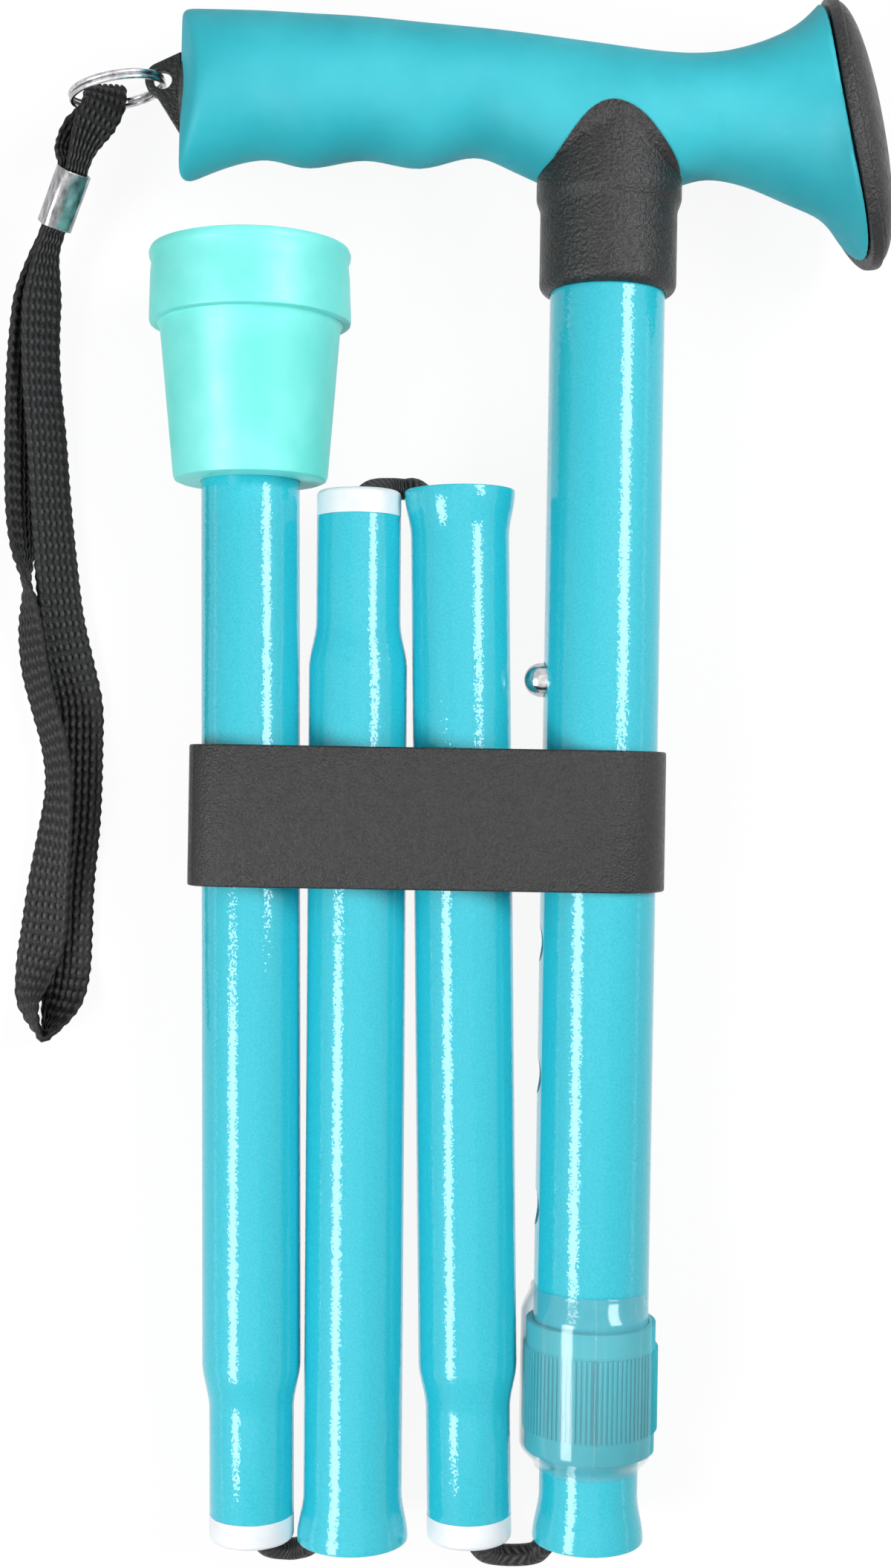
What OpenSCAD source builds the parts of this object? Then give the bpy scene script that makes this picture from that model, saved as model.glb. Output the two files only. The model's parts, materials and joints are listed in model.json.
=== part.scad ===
// Folding walking cane, folded in four, lying on its back.
// X runs along the handle, Y up the handle tube and Z up from the surface it lies on.

/* [Tubes] */
// Outside diameter of the sliding tube and the three folding sections
shaft_d = 19; // [17:0.1:21]
// Wall of the sliding tube and the folding sections
shaft_wall = 1.1; // [0.8:0.1:1.4]
// Wall of the handle tube
outer_wall = 1.2; // [0.8:0.1:1.6]
// Radial gap between the sliding tube and the handle tube
slide_gap = 0.4; // [0.3:0.05:0.6]
// Length of the sliding tube
inner_len = 190; // [182:1:200]
// Length of the two middle sections, plug included
section_len = 202; // [190:1:206]
// How much longer the last section's tube is than the middle ones
last_extra = 32; // [28:1:38]
// Length of the flared mouth
flare_len = 9; // [6:0.5:12]
// Length of the swaged neck
neck_len = 20; // [15:0.5:24]
// Length of the taper from neck to body
taper_len = 9.5; // [7:0.5:12]
// Radial gap between a neck and the mouth that takes it
neck_gap = 0.25; // [0.2:0.05:0.4]
// Radial gap between a full tube and the rim of a mouth
rim_gap = 0.1; // [0.05:0.05:0.3]
// Part of the taper that stays outside the mouth when plugged in
seat_back = 2; // [1.5:0.5:4]

/* [Bundle] */
// Distance from the first fold's pivot to each of its two tubes
half_ab = 11.4; // [11.3:0.1:13]
// Distance from the second fold's pivot to each of its two tubes
half_bc = 9.7; // [9.6:0.1:11]
// Distance from the third fold's pivot to each of its two tubes
half_cd = 9.7; // [9.6:0.1:11]
// Angle by which the first pair of tubes spreads, in degrees
splay_ab = 1.45; // [1.3:0.05:2]
// Angle by which the second pair of tubes spreads, in degrees
splay_bc = 0.9; // [0.7:0.05:1.2]
// Angle by which the third pair of tubes spreads, in degrees
splay_cd = 0.45; // [0.3:0.05:0.8]
// Distance from each tube's end to the level of the fold's pivot
pivot_gap = 0.5; // [0.3:0.1:1]

/* [Height setting] */
// Number of holes in the handle tube
hole_count = 5; // [3:1:5]
// Distance of the button below the sliding tube's upper end
button_down = 24.5; // [20:0.5:30]
// Distance from the lock nut up to the lowest hole
low_hole_up = 18.9; // [12:0.1:30]
// Diameter of the button's stem
button_d = 6.6; // [5:0.1:7]
// How far the button stands out of the handle tube
button_proud = 3.8; // [2.5:0.1:3.9]
// Gap round the button's stem
button_gap = 0.3; // [0.2:0.05:0.5]
// Thickness of the leaf spring
leaf_t = 0.7; // [0.4:0.1:1]
// Width of the leaf spring
leaf_w = 6; // [4:0.5:7]
// Length of the leaf spring below the button
leaf_len = 32; // [24:1:40]

/* [Lock] */
// Height of the lock nut's lower end
lock_y = 20; // [16:0.5:24]
// Length of the lock nut
lock_len = 25; // [23:0.5:30]
// Radial wall of the lock nut over the handle tube
lock_wall = 1.3; // [1.1:0.05:1.5]
// Height of the ribs on the lock nut
rib_h = 0.35; // [0.2:0.05:0.4]
// Number of ribs round the lock nut
rib_count = 60; // [40:2:80]
// Depth of the lock nut's lower lip
lock_lip = 4; // [3:0.5:5]
// Length of the bush inside the lock nut
bush_len = 7; // [5:0.5:9]
// Wall of the clear sleeve
sleeve_wall = 0.8; // [0.6:0.05:0.9]
// How far the clear sleeve passes the lock nut at each end
sleeve_over = 3.5; // [2.5:0.5:6]
// Angle that the clear sleeve leaves open, in degrees
sleeve_open = 82; // [60:1:110]

/* [Rubber tip] */
// Diameter of the foot
foot_d = 38.5; // [34:0.5:42]
// Height of the foot
foot_h = 14.5; // [10:0.5:18]
// Length of the tapered body
body_h = 29.5; // [24:0.5:34]
// Diameter of the body at its mouth
body_mouth_d = 29; // [26:0.5:29.5]
// Diameter of the body where it meets the foot
body_foot_d = 35; // [30:0.5:36]
// Gap between the rubber and the tube it grips
tip_gap = 0.1; // [0.05:0.05:0.2]
// Depth of the hollow under the foot
foot_dish = 1.5; // [0.5:0.5:3]
// Depth of the tube in the tip
tip_cover = 29.5; // [25:0.5:30]

/* [Cord and plugs] */
// Diameter of the elastic cord
cord_d = 4.2; // [3:0.1:4.4]
// Gap round the cord in a plug
cord_gap = 0.3; // [0.2:0.05:0.5]
// Length of a plug's head
plug_head = 4.9; // [4:0.1:7]
// Length of a plug's spigot
plug_spigot = 12; // [8:0.5:15]
// Radius of the round on a plug's head
plug_round = 0.8; // [0.4:0.1:1.2]
// Gap round a plug's spigot
spigot_gap = 0.05; // [0.02:0.01:0.1]
// Length of the anchor that holds the cord's first end
anchor_len = 9; // [6:0.5:12]
// Distance from that anchor up to the leaf spring
anchor_drop = 28.5; // [10:0.5:40]

/* [Handle] */
// Radius of the neck collar
collar_r = 13.2; // [12.6:0.1:13.6]
// How far the neck collar covers the handle tube
collar_cover = 18; // [14:0.5:22]
// Step out of the collar's radius under the grip
collar_step = 0.4; // [0.2:0.05:0.6]
// Radius of the round at the collar's lower end
collar_round = 2; // [1:0.25:2]
// Clearance from the rubber foot up to the level of the handle tube's end
handle_gap = 10.28; // [8:0.01:14]
// Radius of the core's bar
core_r = 7; // [5:0.25:8]
// Depth of the core's boss in the handle tube
boss_len = 22; // [15:1:30]
// Gap between the core and what fits over it
core_gap = 0.1; // [0.05:0.05:0.2]
// Thickness of the lanyard tab
tab_t = 2.4; // [1.8:0.1:3]
// Radius of the tab's hole
tab_hole_r = 1.8; // [1.4:0.1:2]
// Radius of the pegs that fix the tab and the cap in the core
peg_r = 2.5; // [2:0.1:3]
// Length of those pegs
peg_len = 8; // [5:0.5:10]
// How far the end cap bulges from the grip
cap_bulge = 7.7; // [6:0.1:9]
// Radius of the dome on the grip's thin end
end_dome_r = 23.2; // [20:0.1:40]

/* [Clip] */
// Height of the clip's middle
clip_y = 139; // [120:1:142]
// Height of the clip
clip_h = 27.6; // [20:0.2:30]
// Wall of the clip
clip_wall = 1.3; // [1:0.1:2.6]
// Gap between the clip and the tubes
clip_gap = 0.35; // [0.3:0.05:0.8]
// Radius of the clip's corner by the last section
clip_corner_r = 6; // [4:0.5:8]
// How far the clip's hooks reach round the back
clip_hook = 8; // [5:0.5:9]

/* [Wrist strap] */
// Width of the webbing
strap_w = 9.6; // [8:0.2:12]
// Width of the webbing where the ferrule gathers it
crimp_w = 4.7; // [4:0.1:6]
// Length over which it spreads again
gather_len = 14; // [10:1:20]
// Thickness of the webbing
strap_t = 1.5; // [1.2:0.1:1.6]
// Radius of the split ring's wire line
ring_r = 9; // [8.5:0.25:10]
// Diameter of the split ring's wire
wire_d = 0.9; // [0.7:0.1:1]
// Tilt of the split ring's plane from upright, in degrees
ring_tilt = 3; // [-5:1:15]
// Turn of the split ring about the hole that it hangs in, in degrees
ring_yaw = 8; // [0:1:15]
// Length of the ferrule
ferrule_len = 11.5; // [9:0.5:14]
// Gap between the webbing and the ferrule
crimp_gap = 0.3; // [0.1:0.05:0.4]
// Widest that the webbing spreads on the ring
head_w = 7; // [6:0.2:9]
// Wall of the ferrule
ferrule_wall = 0.5; // [0.3:0.1:0.7]

/* [Hidden] */
$fn = 64;

eps = 0.01;
turquoise = [0.13, 0.62, 0.70];
mint = [0.24, 0.83, 0.72];
black = [0.09, 0.09, 0.10];
steel = [0.72, 0.72, 0.74];
white = [0.93, 0.94, 0.95];
clear = [0.80, 0.93, 0.95, 0.45];

// Radii that the tubes share
shaft_r = shaft_d / 2;
bore_r = shaft_r - shaft_wall;
neck_r = bore_r - neck_gap;
neck_bore_r = neck_r - shaft_wall;
rim_bore_r = shaft_r + rim_gap;
rim_r = rim_bore_r + shaft_wall;
outer_bore_r = shaft_r + slide_gap;
outer_r = outer_bore_r + outer_wall;
cord_r = cord_d / 2;
cord_bore_r = cord_r + cord_gap;

// How far a section travels into the mouth that takes it
engagement = plug_head + neck_len + taper_len - seat_back;
plug_travel = engagement + 2 * pivot_gap;

// Heights along a section, from the foot of its first pivot
last_len = section_len + last_extra;
tip_mouth_y = last_len - tip_cover;
mouth_y = pivot_gap + section_len;
next_pivot_y = mouth_y + pivot_gap;
loop_in_male = 9;
loop_in_female = engagement + 4;
loop_drop = 0.1;
loop_belly = 0.2;

// Joint frames in the plane of the tubes
function turn(v, a) = [cos(a) * v.x - sin(a) * v.y, sin(a) * v.x + cos(a) * v.y];
pivot_1 = [-half_ab, -pivot_gap];
pivot_2 = pivot_1 + turn([-half_ab - half_bc, next_pivot_y], splay_ab);
lean_c = splay_ab - splay_bc;
pivot_3 = pivot_2 + turn([-half_bc - half_cd, -next_pivot_y], lean_c);
lean_d = lean_c + splay_cd;

// Height of the tubes' axes above the surface, so that the rubber foot rests on it
rest_z = foot_d / 2;

// Heights along the handle tube, from the sliding tube's mouth
foot_y = pivot_3.y + tip_mouth_y + pivot_gap + body_h + foot_h;
outer_top_y = foot_y + handle_gap;
collar_y = outer_top_y - collar_cover;
top_hole_y = inner_len - button_down;
low_hole_y = lock_y + lock_len + low_hole_up;
hole_pitch = (top_hole_y - low_hole_y) / (hole_count - 1);
anchor_y = top_hole_y - leaf_len - anchor_drop - anchor_len;

// Handle outline from the handle tube's end: top point, bottom point and half thickness
grip_outline = [
    [[-81.6, 35.3], [-81.9, 3.8], 14.2],
    [[-73.8, 35.1], [-73.8, 6.3], 14.8],
    [[-66.6, 34.9], [-66.4, 7.8], 15],
    [[-58.5, 34.6], [-58.2, 6.1], 15],
    [[-47.8, 34.1], [-47.5, 8.1], 14.8],
    [[-37, 33.3], [-36.7, 6.3], 14.4],
    [[-26.4, 32.4], [-26.1, 9], 14],
    [[-18.5, 31.8], [-18.1, 6], 13.75],
    [[-9, 30.8], [-9, 2.2], 13.7],
    [[0, 29.7], [0, 1.4], 13.7],
    [[9, 28.6], [9, 2], 13.7],
    [[16.3, 28.2], [18, 5.2], 13.75],
    [[23.3, 29], [26.1, 3.9], 14.2],
    [[31.1, 31.4], [35.1, 0.2], 15.6],
    [[36.7, 34.3], [43, -4.6], 17.4],
    [[41.1, 38], [49, -11.5], 19]
];
grip_sections = [
    for (s = grip_outline) [s[0] + [0, outer_top_y], s[1] + [0, outer_top_y], s[2]]
];
last_section = len(grip_sections) - 1;
grip_steps = 3;
grip_sides = 24;
end_round = 1.2;
end_shares = [0.02, 0.3, 0.6, 0.82, 0.95];
neck_first = 7;
neck_last = 11;
left_mid = (grip_sections[0][0] + grip_sections[0][1]) / 2;
right_mid = (grip_sections[last_section][0] + grip_sections[last_section][1]) / 2;
core_from = [left_mid.x - end_round, left_mid.y];
core_to = right_mid;
core_dir = core_to - core_from;
core_angle = atan2(core_dir.y, core_dir.x);
neck_mid_y = core_from.y + core_dir.y * (0 - core_from.x) / core_dir.x;
neck = grip_sections[(neck_first + neck_last) / 2];
saddle_top_y = (neck[0].y + neck[1].y) / 2;
cap_dir = grip_sections[last_section][1] - grip_sections[last_section][0];
cap_normal = [-cap_dir.y, cap_dir.x] / norm(cap_dir);
cap_lean = core_angle - atan2(cap_normal.y, cap_normal.x);

// The core's bar stops short of the tab and the cap, whose faces lean from it
bar_from = core_r * tan(abs(core_angle)) + core_gap;
bar_to = norm(core_dir) - core_r * tan(abs(cap_lean)) - core_gap;

// Cap sections, as share of the bulge and share of the grip's end: a flange, a crease and a dome
cap_rings = [
    [0, 1], [0.26, 1], [0.32, 0.985], [0.34, 0.955], [0.5, 0.92],
    [0.68, 0.81], [0.84, 0.61], [0.95, 0.35], [1, 0.08]
];

// Lanyard tab, from the grip's end
tab_x = core_from.x - core_gap;
tab_hole = [-86.5, outer_top_y + 22];
tab_nose_r = 3.4;
tab_base_h = 16;

// Where the ring hangs in the tab's hole
ring_mid = [tab_hole.x - ring_r * cos(ring_yaw), tab_hole.y - ring_r * sin(ring_yaw), 0];

// Box of the rigid object, which the origin is centred under
low_x = tab_hole.x - tab_nose_r;
high_x = max([
    for (c = cap_rings) right_mid.x + c[1] * abs(cap_dir.x) / 2 + c[0] * cap_bulge * cap_normal.x
]);
low_y = pivot_3.y - loop_drop - loop_belly - cord_d;
high_y = grip_sections[last_section][0].y;
origin_at = [(low_x + high_x) / 2, (low_y + high_y) / 2, -rest_z];

// Strap routes from the handle tube's end, with the height over the surface and the turn about itself
strap_route = [
    [-107, -3, 14.1, -40], [-108.4, -6.2, 12.9, -40], [-109.9, -10.8, 11.2, -40], [-110.9, -20.6, 8.6, -40],
    [-111.1, -32, 6.6, -40], [-110, -45.1, 5.4, -38], [-108.9, -58.5, 5, -36],
    [-107.7, -70.3, 4.6, -32], [-106.4, -81.4, 4, -28], [-104.8, -90.9, 3, -15], [-103.4, -98.3, 2, -5],
    [-103.3, -105.8, 1.4, 0], [-103.6, -120.7, 1.2, 0], [-104.6, -134.1, 1.2, 0],
    [-104.8, -144.5, 1.2, 0], [-104.8, -152.1, 1.8, 10], [-105.2, -157.8, 4, 42],
    [-108.4, -162.7, 5.2, 90], [-111.9, -157.8, 5, 122], [-111.2, -151.8, 3.9, 150],
    [-109.5, -144.4, 3.6, 172], [-108.5, -134, 4.4, 158], [-106.9, -120.6, 6, 138],
    [-106.7, -113.3, 6.2, 130], [-107.8, -105.9, 6, 130], [-110, -98.6, 5.6, 130],
    [-111.8, -91.2, 5.2, 132], [-112.9, -83.8, 5.2, 128], [-113.6, -77.9, 5.4, 115],
    [-114.6, -72.3, 5.4, 92], [-115.4, -66.8, 5.4, 74], [-116.6, -58.6, 5.2, 62],
    [-117.2, -45.2, 5, 54], [-117.1, -31.8, 5.2, 48], [-115.9, -20.2, 6.8, 44],
    [-112.8, -11, 9.2, 42], [-109.8, -6.2, 11.1, 40], [-107.9, -2, 12.7, 40]
];
ferrule_from = [-108.4, -4.6, 12.6];
ferrule_to = [-103.8, 5.5, 16.6];
ferrule_turn = 40;
head_side = [-1, -0.14, 0.5];
head_route = [
    [-105.4, 0.5, 15.5, 3], [-103.4, 5, 17.3, 3], [-101.9, 9.5, 18, 0], [-100.3, 14, 16.9, 0],
    [-98.5, 18.8, 15.2, 0], [-99, 22.9, 11.7, 0], [-100.5, 18.4, 8.8, 0], [-102.3, 14, 10.2, 0],
    [-103.8, 9.8, 13.8, 0], [-104.1, 6.4, 16.1, -3], [-106.3, 1.5, 14.1, -3]
];

// Width of the webbing, which the ferrule gathers, by the distance from the ferrule
function webbing_w(y) =
    let (k = max(0, min(1, (abs(y) - ferrule_len / 2) / gather_len)))
    crimp_w + (strap_w - crimp_w) * k * k * (3 - 2 * k);

// Smooth curve through a list of points
function bend(p, i, t) =
    let (a = p[max(i - 1, 0)], b = p[i], c = p[min(i + 1, len(p) - 1)], d = p[min(i + 2, len(p) - 1)])
    0.5 * (2 * b + (c - a) * t + (2 * a - 5 * b + 4 * c - d) * t * t + (3 * b - a - 3 * c + d) * t * t * t);
function smooth(p, n) = [
    for (i = [0 : len(p) - 2]) for (k = [0 : n - 1]) bend(p, i, k / n),
    p[len(p) - 1]
];
function unit(v) = v / norm(v);

// Solid skin over rings of equal point counts
module skin(rings) {
    n = len(rings[0]);
    m = len(rings);
    polyhedron(
        points = [for (r = rings) each r],
        faces = [
            [for (k = [0 : n - 1]) k],
            [for (k = [n - 1 : -1 : 0]) (m - 1) * n + k],
            for (i = [0 : m - 2]) for (k = [0 : n - 1]) each [
                [i * n + k, (i + 1) * n + k, i * n + (k + 1) % n],
                [i * n + (k + 1) % n, (i + 1) * n + k, (i + 1) * n + (k + 1) % n]
            ]
        ],
        convexity = 6
    );
}

// Frame at point i of a route: along, across and up
function along(r, i) = unit(r[min(i + 1, len(r) - 1)] - r[max(i - 1, 0)]);

// Round cord along a route in one plane
module round_cord(route, r, sides) {
    rings = [
        for (i = [0 : len(route) - 1])
        let (d = along(route, i), across = [-d.y, d.x, 0])
        [
            for (k = [0 : sides - 1])
            let (a = k * 360 / sides)
            route[i] + r * (cos(a) * across + sin(a) * [0, 0, 1])
        ]
    ];
    skin(rings);
}

// Flat webbing along a route with a turn and a width at each point; its width lies level, or along side
module webbing(route, turns, w, t, side) {
    rings = [
        for (i = [0 : len(route) - 1])
        let (
            d = along(route, i),
            flat = is_undef(side) ? unit(cross([0, 0, 1], d)) : unit(side - (side * d) * d),
            up = cross(d, flat),
            a = turns[i],
            wide = cos(a) * flat + sin(a) * up,
            thick = cos(a) * up - sin(a) * flat
        )
        [
            for (c = [[-1, -1], [1, -1], [1, 1], [-1, 1]])
            route[i] + c.x * w[i] / 2 * wide + c.y * t / 2 * thick
        ]
    ];
    skin(rings);
}

// Point of the strap's routes, raised to the handle tube's end and measured from the tubes' plane
function at_handle(p) = [p.x, p.y + outer_top_y, p.z - rest_z];

// Stand the finished part on the origin
module place() translate(-origin_at) children();

// Frames of the three folding sections
module in_b() translate([-half_ab, -pivot_gap, 0]) rotate([0, 0, splay_ab])
    translate([-half_ab, 0, 0]) children();
module in_c() in_b() translate([-half_bc, next_pivot_y, 0]) rotate([0, 0, -splay_bc])
    translate([-half_bc, 0, 0]) rotate([180, 0, 0]) children();
module in_d() in_c() translate([-half_cd, next_pivot_y, 0]) rotate([0, 0, -splay_cd])
    translate([-half_cd, 0, 0]) rotate([180, 0, 0]) children();

// Turn a shape made round Z so that it stands along Y
module along_y() rotate([-90, 0, 0]) children();

// Revolve a half outline round the tube's axis
module turned(points) along_y() rotate_extrude() polygon(points);

// Soft step from one radius to another over a length
ease_steps = 6;
function eased(r1, y1, r2, y2) = [
    for (k = [0 : ease_steps])
    let (t = k / ease_steps)
    [r1 + (r2 - r1) * (1 - cos(180 * t)) / 2, y1 + (y2 - y1) * t]
];

// Folding section with a swaged end at the foot and a flared mouth at the head
module folding_tube(len, flared) {
    from = pivot_gap + plug_head;
    neck_end = from + neck_len;
    body = neck_end + taper_len;
    top = pivot_gap + len;
    flare = flared ? top - flare_len : top;
    outside = concat(
        [[neck_r, from]], eased(neck_r, neck_end, shaft_r, body),
        flared ? eased(shaft_r, flare, rim_r, top) : [[shaft_r, top]]
    );
    inside = concat(
        flared ? eased(rim_bore_r, top, bore_r, flare) : [[bore_r, top]],
        eased(bore_r, body, neck_bore_r, neck_end), [[neck_bore_r, from]]
    );
    turned(concat(outside, inside));
}

// White plug with a trumpet mouth for the cord
module end_plug() {
    head = pivot_gap + plug_head;
    spigot_r = neck_bore_r - spigot_gap;
    mouth_r = cord_bore_r + 2.4;
    color(white) turned([
        [mouth_r, pivot_gap], [neck_r - plug_round, pivot_gap],
        for (a = [15 : 15 : 75]) [neck_r - plug_round * (1 - sin(a)), pivot_gap + plug_round * (1 - cos(a))],
        [neck_r, pivot_gap + plug_round], [neck_r, head], [spigot_r, head],
        [spigot_r, head + plug_spigot], [cord_bore_r, head + plug_spigot],
        [cord_bore_r, pivot_gap + 3.6], [cord_bore_r + 0.7, pivot_gap + 1.2]
    ]);
}

// Straight run of cord along a tube
module cord_run(from, to) color(black) translate([0, from, 0]) along_y() cylinder(h = to - from, r = cord_r);

// Bend of cord out of a plug, under the rim of the next mouth and up into it
module cord_loop(half, splay) {
    deep = -cord_r - loop_drop;
    turned_in = [
        for (p = [[-half, loop_in_male], [-half, 6.5], [-half, 4], [-half + 0.5, 1.5]])
        [cos(splay) * p.x - sin(splay) * p.y, sin(splay) * p.x + cos(splay) * p.y, 0]
    ];
    under = [
        [-half + 2.6, deep - 0.3, 0], [-half + 6, deep - loop_belly, 0], [half - rim_r, deep - 0.4, 0],
        [half - rim_bore_r + 1.4, deep + 0.9, 0], [half - 3.6, 4.2, 0], [half - 1, 10, 0],
        [half, 16, 0], [half, 22, 0], [half, 29, 0], [half, loop_in_female, 0]
    ];
    color(black) round_cord(smooth(concat(turned_in, under), 2), cord_r, 8);
}

// Ring of the grip at section i, grown by g
function grip_ring(s, g) =
    let (mid = (s[0] + s[1]) / 2, half = (s[0] - s[1]) / 2, reach = 1 + g / norm(half))
    [
        for (k = [0 : grip_sides - 1])
        let (
            a = 360 * k / grip_sides,
            c = sign(cos(a)) * pow(abs(cos(a)), 0.9),
            d = sign(sin(a)) * pow(abs(sin(a)), 0.9),
            h = reach * c
        )
        [mid.x + half.x * h, mid.y + half.y * h, (s[2] + g) * d]
    ];
function shrunk(s, k, shift) =
    let (mid = (s[0] + s[1]) / 2)
    [mid + (s[0] - mid) * k + shift, mid + (s[1] - mid) * k + shift, s[2] * k];
function grip_at(i, t) = [
    bend([for (s = grip_sections) s[0]], i, t),
    bend([for (s = grip_sections) s[1]], i, t),
    bend([for (s = grip_sections) s[2]], i, t)
];

// Ring bent back to the dome of the thin end, by share k
function domed(ring, k) = [
    for (p = ring) [p.x + k * (end_dome_r - sqrt(end_dome_r * end_dome_r - p.z * p.z)), p.y, p.z]
];

// Outer form of the grip between two of its sections
module grip_form(first, last, g) skin([
    for (i = [first : last - 1]) for (k = [0 : grip_steps - 1]) grip_ring(grip_at(i, k / grip_steps), g),
    grip_ring(grip_sections[last], g)
]);

// Bar of the core between two distances along it, grown by g
module core_bar(from, to, g) translate([core_from.x, core_from.y, 0]) rotate([0, 0, core_angle])
    rotate([0, 90, 0]) translate([0, 0, from]) cylinder(h = to - from, r = core_r + g);

module gel_grip() color(turquoise) difference() {
    skin([
        for (k = end_shares) domed(grip_ring(shrunk(grip_sections[0], k, [-end_round, 0]), 0), 1),
        domed(grip_ring(shrunk(grip_sections[0], 0.985, [-0.35 * end_round, 0]), 0), 1),
        for (i = [0 : last_section - 1]) for (k = [0 : grip_steps - 1])
            let (t = max(k / grip_steps, i == 0 ? 0.12 : 0))
            domed(grip_ring(grip_at(i, t), 0), i == 0 ? 1 - t : 0),
        grip_ring(grip_sections[last_section], 0)
    ]);
    core_bar(-core_r, norm(core_dir) + core_r, core_gap);
    translate([0, collar_y, 0]) along_y() cylinder(h = neck_mid_y - collar_y, r = outer_bore_r);
}

module handle_core() color(black) difference() {
    union() {
        core_bar(bar_from, bar_to, 0);
        translate([0, outer_top_y - boss_len, 0]) along_y()
            cylinder(h = neck_mid_y - outer_top_y + boss_len, r = outer_bore_r - core_gap);
    }
    translate([core_from.x, core_from.y, 0]) rotate([0, 0, core_angle]) {
        rotate([0, 90, 0]) translate([0, 0, bar_from - eps])
            cylinder(h = peg_len + 0.4 - bar_from, r = peg_r + core_gap);
        rotate([0, 90, 0]) translate([0, 0, norm(core_dir) - peg_len - 0.4])
            cylinder(h = peg_len + 2, r = peg_r + core_gap);
    }
}

module neck_collar() color(black) difference() {
    along_y() rotate_extrude() polygon([
        [0, collar_y + collar_round], [collar_r - collar_round, collar_y],
        for (a = [15 : 15 : 75])
            [collar_r - collar_round * (1 - sin(a)), collar_y + collar_round * (1 - cos(a))],
        [collar_r, collar_y + collar_round], [collar_r, outer_top_y - collar_step],
        [collar_r + collar_step, outer_top_y + 2 * collar_step],
        [collar_r + collar_step, saddle_top_y], [0, saddle_top_y]
    ]);
    translate([0, collar_y - 1, 0]) along_y()
        cylinder(h = outer_top_y - collar_y + 1, r = outer_r + core_gap);
    translate([0, collar_y, 0]) along_y() cylinder(h = saddle_top_y - collar_y + 1, r = outer_bore_r);
    grip_form(neck_first, neck_last, 0.02);
}

module end_cap() {
    s = grip_sections[last_section];
    color(black) {
        skin([for (c = cap_rings) grip_ring(shrunk(s, c[1], (c[0] * cap_bulge + 3 * eps) * cap_normal), 0)]);
        translate([core_to.x, core_to.y, 0]) rotate([0, 0, core_angle]) rotate([0, -90, 0])
            translate([0, 0, -1]) cylinder(h = peg_len + 1, r = peg_r);
    }
}

module lanyard_tab() color(black) {
    translate([0, 0, -tab_t / 2]) linear_extrude(tab_t) difference() {
        hull() {
            translate(tab_hole) circle(tab_nose_r);
            translate([tab_x - 0.5, left_mid.y - tab_base_h / 2]) square([0.5, tab_base_h]);
        }
        translate(tab_hole) circle(tab_hole_r);
    }
    translate([tab_x - 0.4, left_mid.y, 0]) rotate([0, 0, core_angle]) rotate([0, 90, 0])
        cylinder(h = peg_len, r = peg_r);
}

// Foot of the handle tube stops above the bush
outer_foot_y = lock_y + lock_lip + bush_len;

module outer_tube() color(turquoise) difference() {
    translate([0, outer_foot_y, 0]) along_y() cylinder(h = outer_top_y - outer_foot_y, r = outer_r);
    translate([0, outer_foot_y - 1, 0]) along_y()
        cylinder(h = outer_top_y - outer_foot_y + 2, r = outer_bore_r);
    for (i = [0 : hole_count - 1]) translate([0, top_hole_y - i * hole_pitch, 0]) rotate([0, -90, 0])
        cylinder(h = outer_r + 1, r = button_d / 2 + button_gap);
}

lock_bore_r = outer_r + 0.15;
lock_r = lock_bore_r + lock_wall;
lock_end_r = lock_r - rib_h;

module lock_collar() color(turquoise) {
    turned([
        [shaft_r + slide_gap, lock_y], [lock_end_r - 0.6, lock_y], [lock_end_r, lock_y + 0.6],
        [lock_end_r, lock_y + lock_len - 0.6], [lock_end_r - 0.6, lock_y + lock_len],
        [lock_bore_r, lock_y + lock_len], [lock_bore_r, lock_y + lock_lip],
        [shaft_r + slide_gap, lock_y + lock_lip]
    ]);
    band_y = lock_y + 0.2 * lock_len;
    band_h = 0.6 * lock_len;
    translate([0, band_y, 0]) along_y() linear_extrude(band_h) difference() {
        union() {
            circle(lock_r - rib_h / 2);
            for (i = [0 : rib_count - 1]) rotate(i * 360 / rib_count) translate([lock_r - rib_h / 2, 0])
                square([rib_h, PI * lock_r / rib_count], center = true);
        }
        circle(lock_end_r - 0.2);
    }
}

module lock_bush() color(white) difference() {
    translate([0, lock_y + lock_lip, 0]) along_y() cylinder(h = bush_len, r = lock_bore_r - 0.1);
    translate([0, lock_y, 0]) along_y() cylinder(h = lock_lip + bush_len + 1, r = shaft_r + slide_gap / 2);
    translate([0, lock_y + lock_lip - 1, -0.75]) cube([2 * lock_r, bush_len + 2, 1.5]);
}

sleeve_r = lock_r + 0.2 + sleeve_wall;
sleeve_y = lock_y - sleeve_over;
sleeve_len = lock_len + 2 * sleeve_over;

// The cane lies on its rubber foot and the clear sleeve, so the floor rises a little towards the sleeve
floor_slope = (rest_z - sleeve_r) / (foot_y - lock_y);
function floor_rise(y) = max(0, (foot_y - y) * floor_slope);

module clear_sleeve() color(clear) {
    end_r = sleeve_r - 1.6;
    along_y() rotate([0, 0, sleeve_open / 2]) rotate_extrude(angle = 360 - sleeve_open) polygon([
        [end_r, sleeve_y], [sleeve_r - 0.5, sleeve_y + 0.45 * sleeve_over],
        [sleeve_r, sleeve_y + 0.9 * sleeve_over], [sleeve_r, sleeve_y + sleeve_len - 0.9 * sleeve_over],
        [sleeve_r - 0.5, sleeve_y + sleeve_len - 0.45 * sleeve_over], [end_r, sleeve_y + sleeve_len],
        [end_r - sleeve_wall, sleeve_y + sleeve_len],
        [sleeve_r - sleeve_wall, sleeve_y + sleeve_len - 0.9 * sleeve_over],
        [sleeve_r - sleeve_wall, sleeve_y + 0.9 * sleeve_over], [end_r - sleeve_wall, sleeve_y]
    ]);
}

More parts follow.
